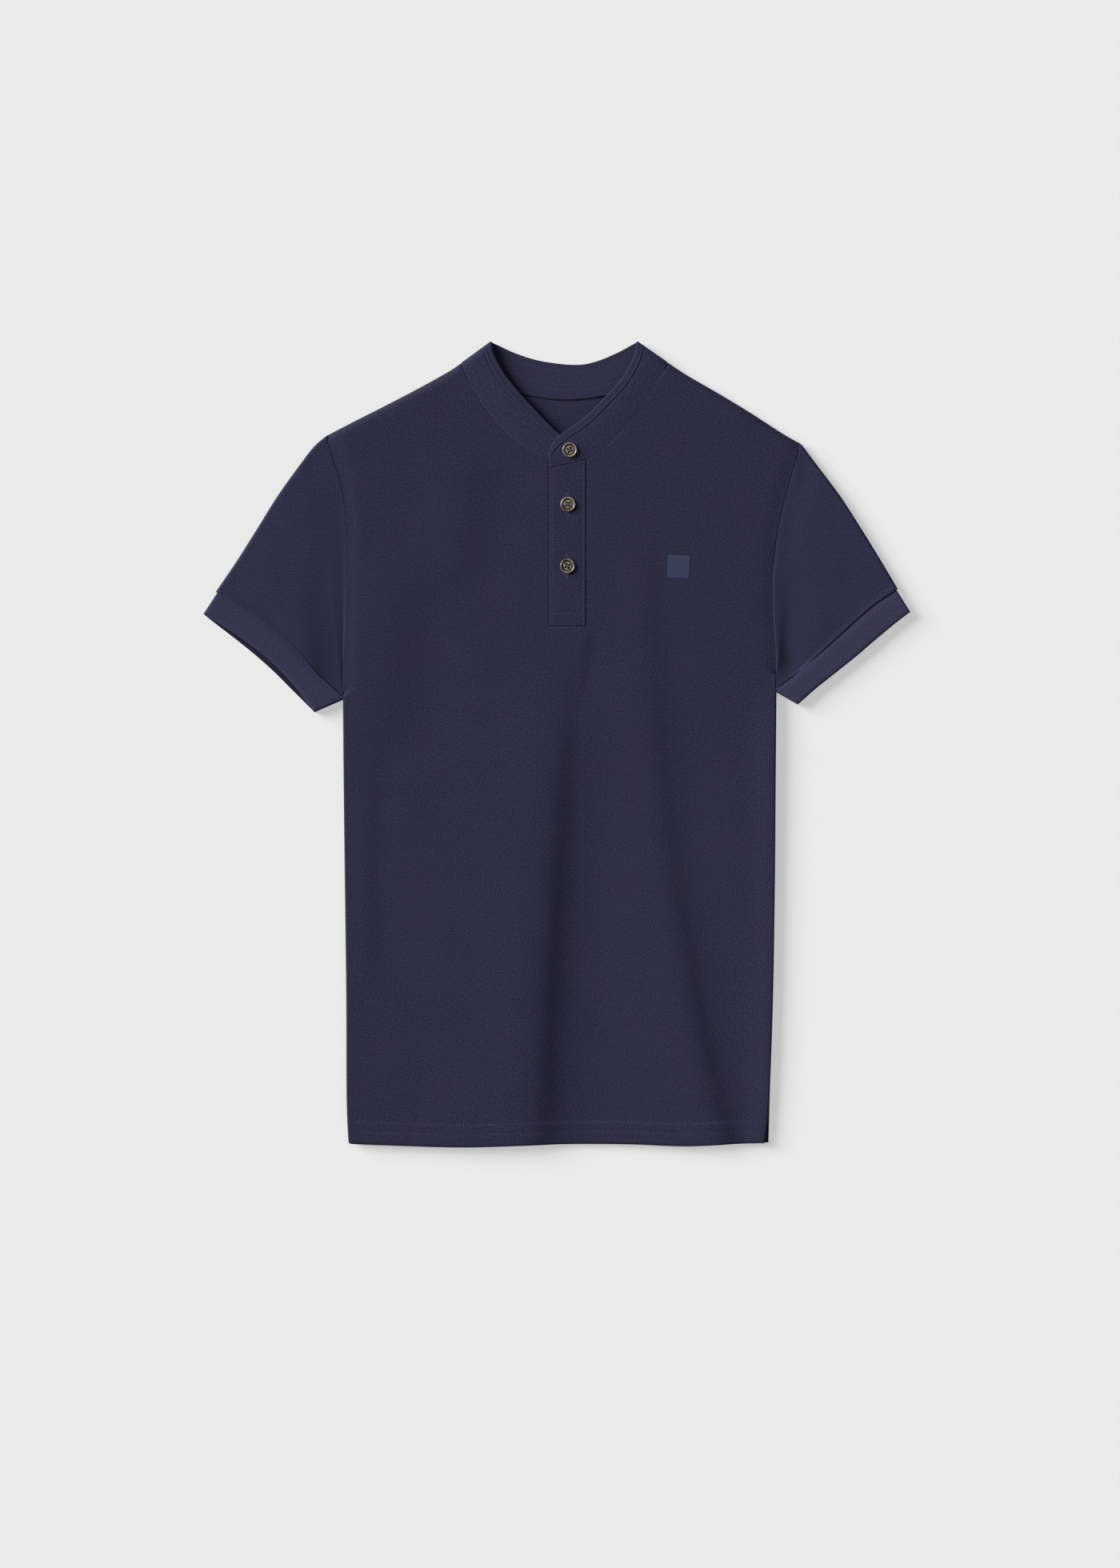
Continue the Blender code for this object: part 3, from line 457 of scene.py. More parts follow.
class Wire:
    """One socket of a material. Arithmetic on wires adds Math nodes."""

    def __init__(self, bench, socket):
        self.bench = bench
        self.socket = socket

    def __add__(self, other):
        return self.bench.maths("ADD", self, other)

    __radd__ = __add__

    def __mul__(self, other):
        return self.bench.maths("MULTIPLY", self, other)

    __rmul__ = __mul__

    def __sub__(self, other):
        return self.bench.maths("SUBTRACT", self, other)

    def __rsub__(self, other):
        return self.bench.maths("SUBTRACT", other, self)


class Bench:
    """The nodes of one material, round its Principled shader."""

    def __init__(self, name, **constants):
        self.material = bpy.data.materials.new(name)
        self.material.use_nodes = True
        self.tree = self.material.node_tree
        self.shader = self.tree.nodes["Principled BSDF"]
        for key, value in constants.items():
            self.shader.inputs[key.replace("_", " ")].default_value = value

    def node(self, kind, settings=None, sockets=None, output=0):
        made = self.tree.nodes.new(kind)
        for key, value in (settings or {}).items():
            setattr(made, key, value)
        for key, value in (sockets or {}).items():
            self.join(value, made.inputs[key])
        return Wire(self, made.outputs[output])

    def join(self, value, socket):
        if isinstance(value, Wire):
            self.tree.links.new(value.socket, socket)
        elif isinstance(value, tuple) and len(value) == 3 and socket.type == "RGBA":
            socket.default_value = (*value, 1.0)
        else:
            socket.default_value = value

    def maths(self, operation, *terms):
        return self.node("ShaderNodeMath", {"operation": operation}, dict(enumerate(terms)))

    def sine(self, value):
        return self.maths("SINE", value)

    def band(self, value, low, high):
        """0 below low, 1 above high, eased between."""
        return self.node("ShaderNodeMapRange", {"interpolation_type": "SMOOTHSTEP"},
                         {"Value": value, "From Min": low, "From Max": high})

    def blend(self, factor, first, second):
        return self.node("ShaderNodeMix", {"data_type": "RGBA"},
                         {0: factor, 6: first, 7: second}, output=2)

    def noise(self, place, scale, detail=2.0, roughness=0.5):
        return self.node("ShaderNodeTexNoise", None,
                         {"Vector": place, "Scale": scale, "Detail": detail,
                          "Roughness": roughness})

    def parts(self, vector):
        split = self.tree.nodes.new("ShaderNodeSeparateXYZ")
        self.join(vector, split.inputs[0])
        return [Wire(self, socket) for socket in split.outputs]

    def feed(self, name, value):
        self.join(value, self.shader.inputs[name])

    def bump(self, height, depth, strength=1.0):
        self.feed("Normal", self.node("ShaderNodeBump", None,
                                      {"Strength": strength, "Distance": depth,
                                       "Height": height}))


def cloth_bench(name, roughness=0.9):
    """A matt cloth with a faint bluish sheen."""
    bench = Bench(name, Roughness=roughness, Specular_IOR_Level=0.12, Sheen_Weight=0.04,
                  Sheen_Roughness=0.45)
    bench.shader.inputs["Sheen Tint"].default_value = (0.55, 0.58, 0.85, 1.0)
    return bench


def weave_of(bench):
    """Place in the weave, and its two parts in millimetres."""
    place = bench.node("ShaderNodeUVMap", {"uv_map": "cloth"})
    u, v, _ = bench.parts(place)
    return place, u * 10.0, v * 10.0


def shirt_place(bench):
    """Place on the shirt in metres."""
    return bench.node("ShaderNodeTexCoord", None, None, output=3)


def tinted(colour, tint):
    return tuple(part * share for part, share in zip(colour, tint))


def worn_navy(bench, on_shirt, shade, tint):
    """Navy that drifts between blue and purple, from the dark to the light of the weave."""
    wide = bench.noise(on_shirt, 22.0, 2.0)
    near = bench.noise(on_shirt, 330.0, 2.0)
    drift = bench.band(wide * 0.5 + near * 0.5, 0.40, 0.60)
    dark, light = (bench.blend(drift, tinted(NAVY, tone), tinted(NAVY_PURPLE, tone))
                   for tone in ([part * level for part in tint]
                                for level in (WEAVE_DARK, WEAVE_LIGHT)))
    return bench.blend(shade, dark, light)


def pique(name, patch=False, rows=False, tint=(1.0, 1.0, 1.0)):
    """Pique: small raised cells in diagonal or level rows, with uneven yarn."""
    bench = cloth_bench(name)
    place, u, v = weave_of(bench)
    on_shirt = shirt_place(bench)
    x, y, _ = bench.parts(on_shirt)
    bend = bench.noise(on_shirt, 70.0) * 2.0
    if rows:
        cells = bench.sine(y * (2000.0 * math.pi / PIQUE_ROW_PITCH) + bend)
    else:
        lean = bench.band(bench.noise(on_shirt, 8.0, 1.0), 0.44, 0.56)
        rising = bench.sine(v * PIQUE_UP + u * PIQUE_ACROSS + bend)
        falling = bench.sine(v * PIQUE_UP - u * PIQUE_ACROSS + bend)
        cells = rising + (falling - rising) * lean
    yarn = bench.noise(place, 7.5, 2.0, 0.7)
    grain = cells * 0.17 + (yarn - 0.5) * 2.3 + 0.5
    shade = bench.band(grain, 0.0, 1.0)
    colour = worn_navy(bench, on_shirt, shade, tint)
    if patch:
        x = x * 1000.0 - PATCH_CENTRE[0]
        y = y * 1000.0 - PATCH_CENTRE[1]
        cosine, sine = math.cos(PATCH_TURN), math.sin(PATCH_TURN)
        inside = 1.0
        for away, size in ((x * cosine + y * sine, PATCH_SIZE[0]),
                           (y * cosine - x * sine, PATCH_SIZE[1])):
            inside = (1.0 - bench.band(bench.maths("ABSOLUTE", away), size / 2 - 0.25,
                                       size / 2)) * inside
        printed = bench.blend(shade, tinted(PATCH_BLUE, (0.86, 0.86, 0.86)), PATCH_BLUE)
        colour = bench.blend(inside, colour, printed)
        grain = grain * (1.0 - inside * 0.55)
    bench.feed("Base Color", colour)
    bench.bump(grain, PIQUE_DEPTH)
    return bench.material


def fine_knit(name, pitch, tint):
    """Fine ribs across the weave's first direction, for the cuffs and the band."""
    bench = cloth_bench(name)
    place, u, v = weave_of(bench)
    ribs = bench.sine(u * (2.0 * math.pi / pitch) - 0.5 * math.pi)
    yarn = bench.noise(place, 8.5, 2.0, 0.7)
    grain = ribs * 0.22 + (yarn - 0.5) * 1.8 + 0.5
    bench.feed("Base Color", worn_navy(bench, shirt_place(bench), bench.band(grain, 0.0, 1.0),
                                       tint))
    bench.bump(grain, KNIT_DEPTH)
    return bench.material


def thread(name, colour):
    bench = cloth_bench(name, 0.75)
    bench.feed("Base Color", bench.blend(bench.noise(shirt_place(bench), 900.0), colour,
                                         tinted(colour, (1.3, 1.3, 1.3))))
    return bench.material


def horn(name, centre):
    """Streaky brown horn with painted shade in the groove round a greyer dish."""
    bench = Bench(name, Roughness=0.32, Specular_IOR_Level=0.5, Coat_Roughness=0.12)
    bench.shader.inputs["Coat Weight"].default_value = 0.25
    place = shirt_place(bench)
    bent = bench.node("ShaderNodeVectorMath", {"operation": "MULTIPLY"},
                      {0: place, 1: (150.0, 60.0, 60.0)})
    streak = bench.noise(bent, 1.0, 3.0, 0.6)
    fine = bench.noise(place, 900.0, 2.0)
    tone = bench.band(streak + (fine - 0.5) * 0.12, 0.36, 0.66)
    x, y, _ = bench.parts(place)
    x, y = x * 1000.0 - centre[0], y * 1000.0 - centre[1]
    away = bench.maths("SQRT", x * x + y * y) * (2.0 / BUTTON_DIAMETER)
    rim = bench.blend(tone, *HORN_RIM)
    dish = bench.blend(tone, *HORN_DISH)
    face = bench.blend(bench.band(away, 0.56, 0.62), dish, rim)
    # Near-black blended into the ring of the groove: painted shade in the recess.
    groove = bench.band(away, 0.54, 0.60) * (1.0 - bench.band(away, 0.71, 0.79))
    bench.feed("Base Color", bench.blend(groove * 0.85, face, HORN_GROOVE_PAINTED_SHADE))
    return bench.material


def pale_floor():
    bench = Bench("pale_floor", Roughness=0.9, Specular_IOR_Level=0.1,
                  Emission_Strength=FLOOR_GLOW)
    bench.shader.inputs["Emission Color"].default_value = (1.0, 1.0, 1.0, 1.0)
    colour = (FLOOR_GREY,) * 3
    bench.feed("Base Color", bench.blend(bench.noise(shirt_place(bench), 3.0, 1.0), colour,
                                         tinted(colour, (0.985, 0.985, 0.985))))
    return bench.material


# ---------------------------------------------------------------- body

SIDE_SHARES = np.concatenate([np.linspace(0.0, 0.064, 21), np.linspace(0.064, 1.0, 116)[1:-1]])
ARM_SHARES = fine_ends([0.0, 0.004, 0.010, 0.018], 0.028, 0.972, 72)
EDGE_INSETS = np.array([0.0, 0.2, 0.5, 0.9, 1.4, 2.0, 2.8, 3.8, 5.0, 6.5, 8.5, 11.0])


def side_of(side, armhole):
    """Points up one side and how open its edge is at each: 0 in a fold, 1 in the armhole."""
    hole = smooth_curve(armhole)
    run = ARM_SHARES * run_of(hole)[-1]
    opened = quarter_round(run / END_ROLL) * quarter_round((run[-1] - run) / END_ROLL)
    points = np.concatenate([points_at(smooth_curve(side), SIDE_SHARES),
                             points_at(hole, ARM_SHARES)])
    return points, np.concatenate([np.zeros(len(SIDE_SHARES)), opened])


def column_shares(neck_left, neck_right, pitch):
    """Even shares across, with a column on each neck point."""
    parts = []
    for low, high in ((0.0, neck_left), (neck_left, neck_right), (neck_right, 1.0)):
        parts.append(np.linspace(low, high, max(2, round((high - low) / pitch)) + 1)[:-1])
    return np.concatenate(parts + [[1.0]])


def body_plan(left, right, neckline):
    """Plan of a body panel: x and y of each point, its way from the side and from the top."""
    shoulder_left = smooth_curve(LEFT_SHOULDER)
    shoulder_right = smooth_curve(RIGHT_SHOULDER)
    top = np.concatenate([shoulder_left, neckline[1:-1], shoulder_right])
    tips = (top[0][0], top[-1][0])
    span = tips[1] - tips[0]
    neck_left = (shoulder_left[-1][0] - tips[0]) / span
    neck_right = (shoulder_right[0][0] - tips[0]) / span
    middle = column_shares(neck_left, neck_right, 0.0068)
    widths = right[:, 0] - left[:, 0]
    shares = []
    for width in widths:
        edge = EDGE_INSETS / width
        inner = middle[(middle > edge[-1] + 0.003) & (middle < 1.0 - edge[-1] - 0.003)]
        shares.append((edge, inner))
    inner = min((pair[1] for pair in shares), key=len)
    share = np.array([np.concatenate([pair[0], inner, 1.0 - pair[0][::-1]]) for pair in shares])
    up_left = (left[:, 1] - left[0][1]) / (left[-1][1] - left[0][1])
    up_right = (right[:, 1] - right[0][1]) / (right[-1][1] - right[0][1])
    up = (0.5 * (up_left + up_right))[:, None]
    x = left[:, :1] + share * widths[:, None]
    hem_x = left[0][0] + share * (right[0][0] - left[0][0])
    top_y = np.interp(tips[0] + share * span, top[:, 0], top[:, 1])
    y = (np.interp(hem_x, HEM_CURVE[:, 0], HEM_CURVE[:, 1]) * (1.0 - up) + top_y * up
         + (1.0 - share) * (up_left[:, None] - up) * (left[-1][1] - left[0][1])
         + share * (up_right[:, None] - up) * (right[-1][1] - right[0][1]))
    from_side = np.minimum(share, 1.0 - share) * widths[:, None]
    corner = (1.0 - quarter_round(from_side / 3.5)) * (1.0 - ease(above_hem(hem_x, y) / 6.0))
    y = y + LEFT_CORNER_RISE * corner * (x < 0.0)
    return x, y, from_side, top_y - y, tips[0] + share * span


def neck_open(x):
    """1 along the neckline, 0 along the folded shoulders, by x of the top edge."""
    neck = smooth_curve(FRONT_NECKLINE)
    whole = run_of(neck)
    run = np.interp(x, neck[:, 0], whole)
    lifted = quarter_round(run / END_ROLL) * quarter_round((whole[-1] - run) / END_ROLL)
    return np.where((x > neck[0][0]) & (x < neck[-1][0]), lifted, 0.0)


def tucked_neckline():
    """Front neckline with a margin that goes under the band, none at its ends."""
    neck = smooth_curve(FRONT_NECKLINE)
    share = run_of(neck) / run_of(neck)[-1]
    reach = NECK_MARGIN * ease(np.minimum(share, 1.0 - share) / 0.06)
    return neck + reach[:, None] * (moved_inwards(neck, 1.0) - neck)


def make_front(material):
    left, opened = side_of(LEFT_SIDE, LEFT_ARMHOLE)
    right, _ = side_of(RIGHT_SIDE, RIGHT_ARMHOLE)
    x, y, from_side, from_top, top_x = body_plan(left, right, tucked_neckline())
    opened = opened[:, None]
    held = opened * (ARMHOLE_LOFT - FRONT_EDGE) / (FRONT_LOFT - FRONT_EDGE)
    vent = VENT_LIFT / (FRONT_LOFT - FRONT_EDGE) * ease((LEFT_SIDE[1][1] - y) / VENT_HEIGHT)
    held = np.maximum(held, vent)
    roll = SIDE_ROLL + (ARMHOLE_ROLL - SIDE_ROLL) * opened
    rounded = (1.0 - opened) * quarter_round(from_side / roll) + opened * ease(from_side / roll)
    side = held + (1.0 - held) * rounded
    at_neck = neck_open(top_x)
    top = at_neck + (1.0 - at_neck) * quarter_round(from_top / END_ROLL)
    z = FRONT_EDGE + (front_height(x, y) - FRONT_EDGE) * side * top
    rim = (x > 0.0) * ridge(from_side - RIM_INSET, RIM_WIDTH) * quarter_round(from_side / 1.5)
    z = z + RIM_RISE * rim * (1.0 - opened) * ease((RIM_TOP - y) / 60.0)
    z = z - np.where(x < 0.0, *ARMHOLE_DROPS) * opened * (1.0 - quarter_round(from_side / 1.4))
    z = z - HEM_EDGE_DROP * (1.0 - quarter_round(above_hem(x, y) / 1.0))
    z = z - NECK_EDGE_DROP * at_neck * (1.0 - ease((from_top - 0.2) / 0.8))
    bm = cloth_grid(stacked(x, y, z), stacked(x, y))
    press_beside_placket(bm)
    cut_slit(bm)
    piece = add_piece("front_cloth", bm, material, "navy_pique", "front_panel")
    thicken(piece, PANEL_WALL)
    return piece


def add_line(bm, place, square):
    """A line of edges through the whole grid, level or upright in plan."""
    bmesh.ops.bisect_plane(bm, geom=bm.verts[:] + bm.edges[:] + bm.faces[:], dist=0.0000001,
                           plane_co=(place[0] * MM, place[1] * MM, 0.0), plane_no=square)


def press_beside_placket(bm):
    """The seams of the placket press a narrow groove into the front beside it."""
    sides = ((PLACKET_LEFT, -1.0, 0.3), (PLACKET_RIGHT, 1.0, 0.1))
    for line, out, _ in sides:
        for away in (0.1, 0.5, 0.9, 1.4, 2.0):
            add_line(bm, (line + out * away, 0.0), (1, 0, 0))
    for vert in bm.verts:
        x, y = vert.co.x / MM, vert.co.y / MM
        if PLACKET_BOTTOM < y < PLACKET_TOP_RIGHT:
            for line, out, deep in sides:
                vert.co.z -= deep * ridge(x - line - out * 0.5, 0.6) * MM


def cut_slit(bm):
    """Opens the front under the placket."""
    low_x, high_x = PLACKET_LEFT + SLIT_MARGIN, PLACKET_RIGHT - SLIT_MARGIN
    low_y = PLACKET_BOTTOM + SLIT_MARGIN
    add_line(bm, (low_x, 0.0), (1, 0, 0))
    add_line(bm, (high_x, 0.0), (1, 0, 0))
    add_line(bm, (0.0, low_y), (0, 1, 0))
    inside = []
    for face in bm.faces:
        middle = face.calc_center_median()
        if low_x * MM < middle.x < high_x * MM and middle.y > low_y * MM:
            inside.append(face)
    bmesh.ops.delete(bm, geom=inside, context="FACES")


def make_back(material):
    left, opened = side_of(LEFT_SIDE, LEFT_ARMHOLE)
    right, _ = side_of(RIGHT_SIDE_BACK, RIGHT_ARMHOLE)
    x, y, from_side, from_top, _ = body_plan(left, right, smooth_curve(BACK_NECKLINE))
    lift = (BACK_SHARE_OF_FOLDS * relief(WIDE_FLANKS, x, y) * ease((from_side - 12.0) / 30.0)
            * ease((above_hem(x, y) - 6.0) / 40.0) * ease((120.0 - y) / 60.0))
    edge = np.minimum(from_side, from_top)
    z = -BACK_EDGE_DROP * (1.0 - quarter_round(edge / 1.0)) + lift + PANEL_WALL + BACK_LAYER_GAP
    bm = cloth_grid(stacked(x, y, z), stacked(x, y))
    piece = add_piece("back_cloth", bm, material, "navy_pique", "back_panel")
    thicken(piece, PANEL_WALL)
    return piece


# ---------------------------------------------------------------- sleeves and cuffs

def tube_turn(run, roll=TUBE_ROLL):
    return quarter_round(run / roll) * quarter_round((run[-1] - run) / roll)


def weave_ring(run, reach):
    """Weave place of one ring: over the top of the tube and back under it."""
    run = np.concatenate([run, 2 * run[-1] - run[-2::-1]])
    return np.column_stack([run, np.full(len(run), reach)])


def tube_cloth(rings, weave, side_sign):
    """The rings as one closed sheet that faces outwards on either side of the shirt."""
    points, weave = np.array(rings), np.array(weave)
    if side_sign < 0:
        points, weave = points[:, ::-1], weave[:, ::-1]
    return cloth_grid(points, weave, closed=True)


def make_sleeve(name, node, armhole, top, cuff_seam, side_sign, folds, material):
    """A flattened tube of rings from the armhole to the cuff, folded along the top."""
    hole_curve = smooth_curve(armhole)
    down = fine_ends([0.0, 0.0015, 0.004, 0.008, 0.013, 0.019], 0.027, 0.973, 78)
    hole = points_at(hole_curve, 1.0 - down)
    length = run_of(hole_curve)[-1]
    opened = (quarter_round(down * length / END_ROLL)
              * quarter_round((1.0 - down) * length / END_ROLL))
    hole[:, 0] += side_sign * (ARMHOLE_LAP_EASE * (1.0 - opened) - ARMHOLE_LAP)
    seam = points_at(smooth_curve(cuff_seam), down)
    outs = np.concatenate([[0.0, 0.006, 0.014, 0.024], np.linspace(0.04, 0.96, 52),
                           [0.975, 0.985, 0.993, 1.0]])
    fold = points_at(smooth_curve(top), outs)
    fold[0] = hole[0]
    rings, weave = [], []
    for out, corner in zip(outs, fold):
        straight = hole * (1.0 - out) + seam * out
        plan = straight + np.outer(1.0 - down, corner - straight[0])
        x, y = plan[:, 0], plan[:, 1]
        loft = SLEEVE_SEAM_LOFT + (SLEEVE_LOFT - SLEEVE_SEAM_LOFT) * ease(out / 0.25)
        loft = (loft - SLEEVE_SEAM_DROPS[side_sign > 0] * (1.0 - quarter_round(out / 0.018))
                + ease(out / 0.05) * relief(folds, x, y)
                + SLEEVE_WAVES * ripple(x, y, 34.0, 2.0)
                + SLEEVE_END_RISE * ease((out - 0.96) / 0.03))
        turn = tube_turn(run_of(plan))
        fold_height = 0.5 * loft[0]
        upper = np.column_stack([plan, fold_height + (loft - fold_height) * turn])
        lower = np.column_stack([plan, fold_height * (1.0 - turn)])
        rings.append(np.concatenate([upper, lower[-2::-1]]))
        weave.append(weave_ring(run_of(plan), np.linalg.norm(corner - fold[0])))
    piece = add_piece(name, tube_cloth(rings, weave, side_sign), material, "navy_pique", node)
    thicken(piece, PANEL_WALL)
    return piece


def make_cuff(name, node, start, edge, under_edge, side_sign, material, inside):
    """A flattened ribbed ring, tucked under the sleeve at its start."""
    shares = fine_ends([0.0, 0.001, 0.003, 0.006, 0.010, 0.016, 0.023],
                       CUFF_PLAIN_SHARE, 1.0 - CUFF_PLAIN_SHARE, 6 * CUFF_RIBS + 1)
    seam, over, under = (points_at(smooth_curve(knots), shares)
                         for knots in (start, edge, under_edge))
    ribs = (shares - CUFF_PLAIN_SHARE) / (1.0 - 2 * CUFF_PLAIN_SHARE) * CUFF_RIBS
    rib = np.where((ribs < 0.0) | (ribs > CUFF_RIBS), 0.0, 0.5 - 0.5 * np.cos(ribs * 2 * math.pi))
    outs = np.array([-0.06, -0.02, 0.01, 0.04, 0.1, 0.2, 0.35, 0.5, 0.65, 0.8, 0.9, 0.95,
                     0.975, 0.99, 1.0])
    rings, weave = [], []
    for out in outs:
        upper = seam * (1.0 - out) + over * out
        lower = seam * (1.0 - out) + under * out
        end = np.clip(1.0 - (1.0 - out) * CUFF_DEPTH / 1.5, 0.0, 1.0)
        height = (CUFF_LOFT - CUFF_EDGE_DROP * end - CUFF_START_DROP * ease((0.2 - out) / 0.2)
                  + RIB_HEIGHT * rib * (1.0 - end))
        fold_height = 0.5 * CUFF_LOFT
        turn = tube_turn(run_of(upper), CUFF_ROLL)
        low_turn = tube_turn(run_of(lower), CUFF_ROLL)
        rings.append(np.concatenate([
            np.column_stack([upper, fold_height + (height - fold_height) * turn]),
            np.column_stack([lower, fold_height * (1.0 - low_turn)])[-2::-1]]))
        weave.append(weave_ring(ribs * RIB_PITCH, out * CUFF_DEPTH))
    piece = add_piece(name, tube_cloth(rings, weave, side_sign), material, "navy_rib", node)
    # The inner faces take the darker second material: painted shade inside the flattened cuff.
    piece.data.materials.append(inside)
    thicken(piece, CUFF_WALL).material_offset = 1
    return piece


# ---------------------------------------------------------------- collar band

def moved_inwards(points, gap):
    """The curve set off by a gap to the left of its way, towards the band's free edge."""
    along = np.gradient(points, axis=0)
    along /= np.linalg.norm(along, axis=1)[:, None]
    return points + gap * np.stack([-along[:, 1], along[:, 0]], axis=1)


class BandPart:
    """One stretch of the band: its seam and free edge in plan, and their heights."""

    def __init__(self, seam, edge, seam_height, edge_height, crown):
        self.seam, self.edge = seam, edge
        self.seam_height, self.edge_height, self.crown = seam_height, edge_height, crown
        self.width = np.linalg.norm(edge - seam, axis=1)

    def points(self, inset_from_edge, lift=0.0):
        """Points of the outer face at a distance in from the free edge, one per station."""
        share = 1.0 - inset_from_edge / self.width
        plan = self.seam * (1.0 - share)[:, None] + self.edge * share[:, None]
        height = (self.seam_height * (1.0 - share) + self.edge_height * share
                  + self.crown * 4 * share * (1.0 - share))
        return np.column_stack([plan, height + lift])


def band_side(seam_curve, edge_knots, heights, stations):
    """One front stretch, from its fold at the shoulder to its end at the placket."""
    shares = np.linspace(0.0, 1.0, stations)
    seam = points_at(seam_curve, shares)
    edge_curve = smooth_curve(edge_knots)
    edge = points_at(edge_curve, shares)
    table = np.array(heights)
    turn_seam = quarter_round(shares * run_of(seam_curve)[-1] / END_ROLL)
    turn_edge = quarter_round(shares * run_of(edge_curve)[-1] / END_ROLL)
    seam_height = (BAND_FOLD_AT_SEAM
                   + (np.interp(shares, table[:, 0], table[:, 1]) - BAND_FOLD_AT_SEAM) * turn_seam)
    edge_height = (BAND_FOLD_AT_EDGE
                   + (np.interp(shares, table[:, 0], table[:, 2]) - BAND_FOLD_AT_EDGE) * turn_edge)
    return BandPart(seam, edge, seam_height, edge_height, BAND_CROWN * turn_seam)


def band_across(seam_curve, edge_knots, stations):
    """The back stretch, which lies on the back from one fold to the other."""
    shares = np.linspace(0.0, 1.0, stations)
    edge_curve = smooth_curve(edge_knots)
    near = np.minimum(shares, 1.0 - shares)
    seam = points_at(seam_curve, shares)
    seam[:, 1] -= BACK_SEAM_LAP * ease(near / 0.06)
    return BandPart(
        seam, points_at(edge_curve, shares),
        BACK_SEAM_LIFT + (BAND_FOLD_AT_SEAM - BACK_SEAM_LIFT)
        * (1.0 - quarter_round(near * run_of(seam_curve)[-1] / END_ROLL)),
        BAND_FOLD_AT_EDGE * (1.0 - quarter_round(near * run_of(edge_curve)[-1] / END_ROLL)),
        np.zeros(stations))


def band_parts():
    front = smooth_curve(FRONT_NECKLINE)
    back = moved_inwards(smooth_curve(BACK_NECKLINE), SEAM_GAP)
    seam = moved_inwards(front, SEAM_GAP)
    seam[0], seam[-1] = back[0], back[-1]
    left_seam = seam[seam[:, 0] <= PLACKET_RIGHT]
    right_seam = np.concatenate([seam[::-1][seam[::-1][:, 0] >= PLACKET_RIGHT],
                                 np.array(BAND_ON_PLACKET)])
    return (band_side(left_seam, LEFT_BAND_EDGE, LEFT_BAND_HEIGHTS, 170),
            band_across(back, BACK_BAND_EDGE, 150),
            band_side(right_seam, RIGHT_BAND_EDGE, RIGHT_BAND_HEIGHTS, 170))


def band_profile(part, to_end):
    """Rows of points across one stretch of the band: rounded edges, welt and seam lines."""
    insets = np.concatenate([[0.0, 0.15, 0.4, 0.8, 1.3, 2.0, 3.0, 4.0],
                             np.linspace(4.6, 8.4, 12)])
    from_edge = insets[None, :] * np.ones((len(part.width), 1))
    rest = part.width[:, None] - np.concatenate([[0.0, 0.2, 0.5, 0.9, 1.3, 1.7, 2.1, 2.6, 3.4]])
    spread = np.linspace(0.0, 1.0, 12)[1:-1]
    middle = from_edge[:, -1:] + (rest[:, -1:] - from_edge[:, -1:]) * spread[None, :]
    inset = np.concatenate([from_edge, middle, rest[:, ::-1]], axis=1)
    groove = WELT_GROOVE_INSET - WELT_INSET
    rows = []
    for column in range(inset.shape[1]):
        away = inset[:, column]
        from_seam = part.width - away
        line = away - WELT_INSET
        if to_end is not None:
            near = to_end * WELT_INSET / WELT_INSET_AT_END
            line = np.minimum(away, near) - WELT_INSET
        detail = (0.32 * ridge(line, 0.55) - 0.3 * ridge(line - groove, 0.6)
                  - 0.9 * (1.0 - quarter_round(away / 1.2))
                  - 0.25 * (1.0 - quarter_round(from_seam / 0.5))
                  - 0.12 * ridge(from_seam - 1.2, 0.5))
        if to_end is not None:
            detail = detail - 0.4 * (1.0 - quarter_round(to_end / 1.0)) * (away > 1.4)
        rows.append(part.points(away, detail))
    return np.stack(rows, axis=1)


def make_band(material):
    """One sheet from the left end round the back, which shows its inside, to the right end."""
    left, across, right = band_parts()
    to_end = run_of(right.edge)[-1] - run_of(right.edge)
    flat = band_profile(left, None)[::-1]
    end = band_profile(right, to_end)
    back = across_profile(across, flat.shape[1])
    points = np.concatenate([flat, back[1:-1], end])[:, ::-1]
    width = np.linspace(0.0, BAND_WIDTH, points.shape[1])
    weave = stacked(run_of(points.mean(axis=1))[:, None], width[None, :])
    piece = add_piece("band_cloth", cloth_grid(points, weave), material, "navy_band",
                      "collar_band")
    thicken(piece, BAND_WALL)
    return piece, (left, across, right)


def across_profile(part, columns):
    shares = np.linspace(0.0, 1.0, columns)
    return np.stack([part.points(part.width * share) for share in shares], axis=1)


# ---------------------------------------------------------------- placket

def make_strip(name, node, low, high, bottom, top_left, top_right, lift, wall, material):
    """A placket strip that follows the front. The top one has its edges and sewing pressed."""
    across = fine_ends([0.0, 0.006, 0.018, 0.035, 0.055], 0.075, 0.925, 30)
    up = np.concatenate([[0.0, 0.0015, 0.004, 0.008, 0.013], np.linspace(0.02, 0.99, 130),
                         [0.995, 1.0]])
    top = top_left + (top_right - top_left) * across[None, :]
    y = bottom + (top - bottom) * up[:, None]
    x = np.broadcast_to(low + (high - low) * across, y.shape)
    z = front_height(x, y) + lift
    if lift > 0.0:
        edge = np.minimum(x - low, high - x)
        z = (z - PLACKET_EDGE_DROP * (1.0 - quarter_round(edge / 0.5))
             - PLACKET_EDGE_DROP * (1.0 - quarter_round((y - bottom) / 0.5))
             - 0.2 * ridge(x - low - PLACKET_GROOVES[0], 0.5)
             - 0.2 * ridge(high - x - PLACKET_GROOVES[1], 0.5)
             - 0.25 * ridge(y - bottom - PLACKET_BOX_ROW, 0.6) + 0.1 * ripple(x, y, 14.0, 3.0)
             - 0.5 * ease((y - top + 2.8) / 1.0))
    piece = add_piece(name, cloth_grid(stacked(x, y, z), stacked(x, y)), material, "navy_pique",
                      node)
    thicken(piece, wall)
    return piece


# ---------------------------------------------------------------- sewing

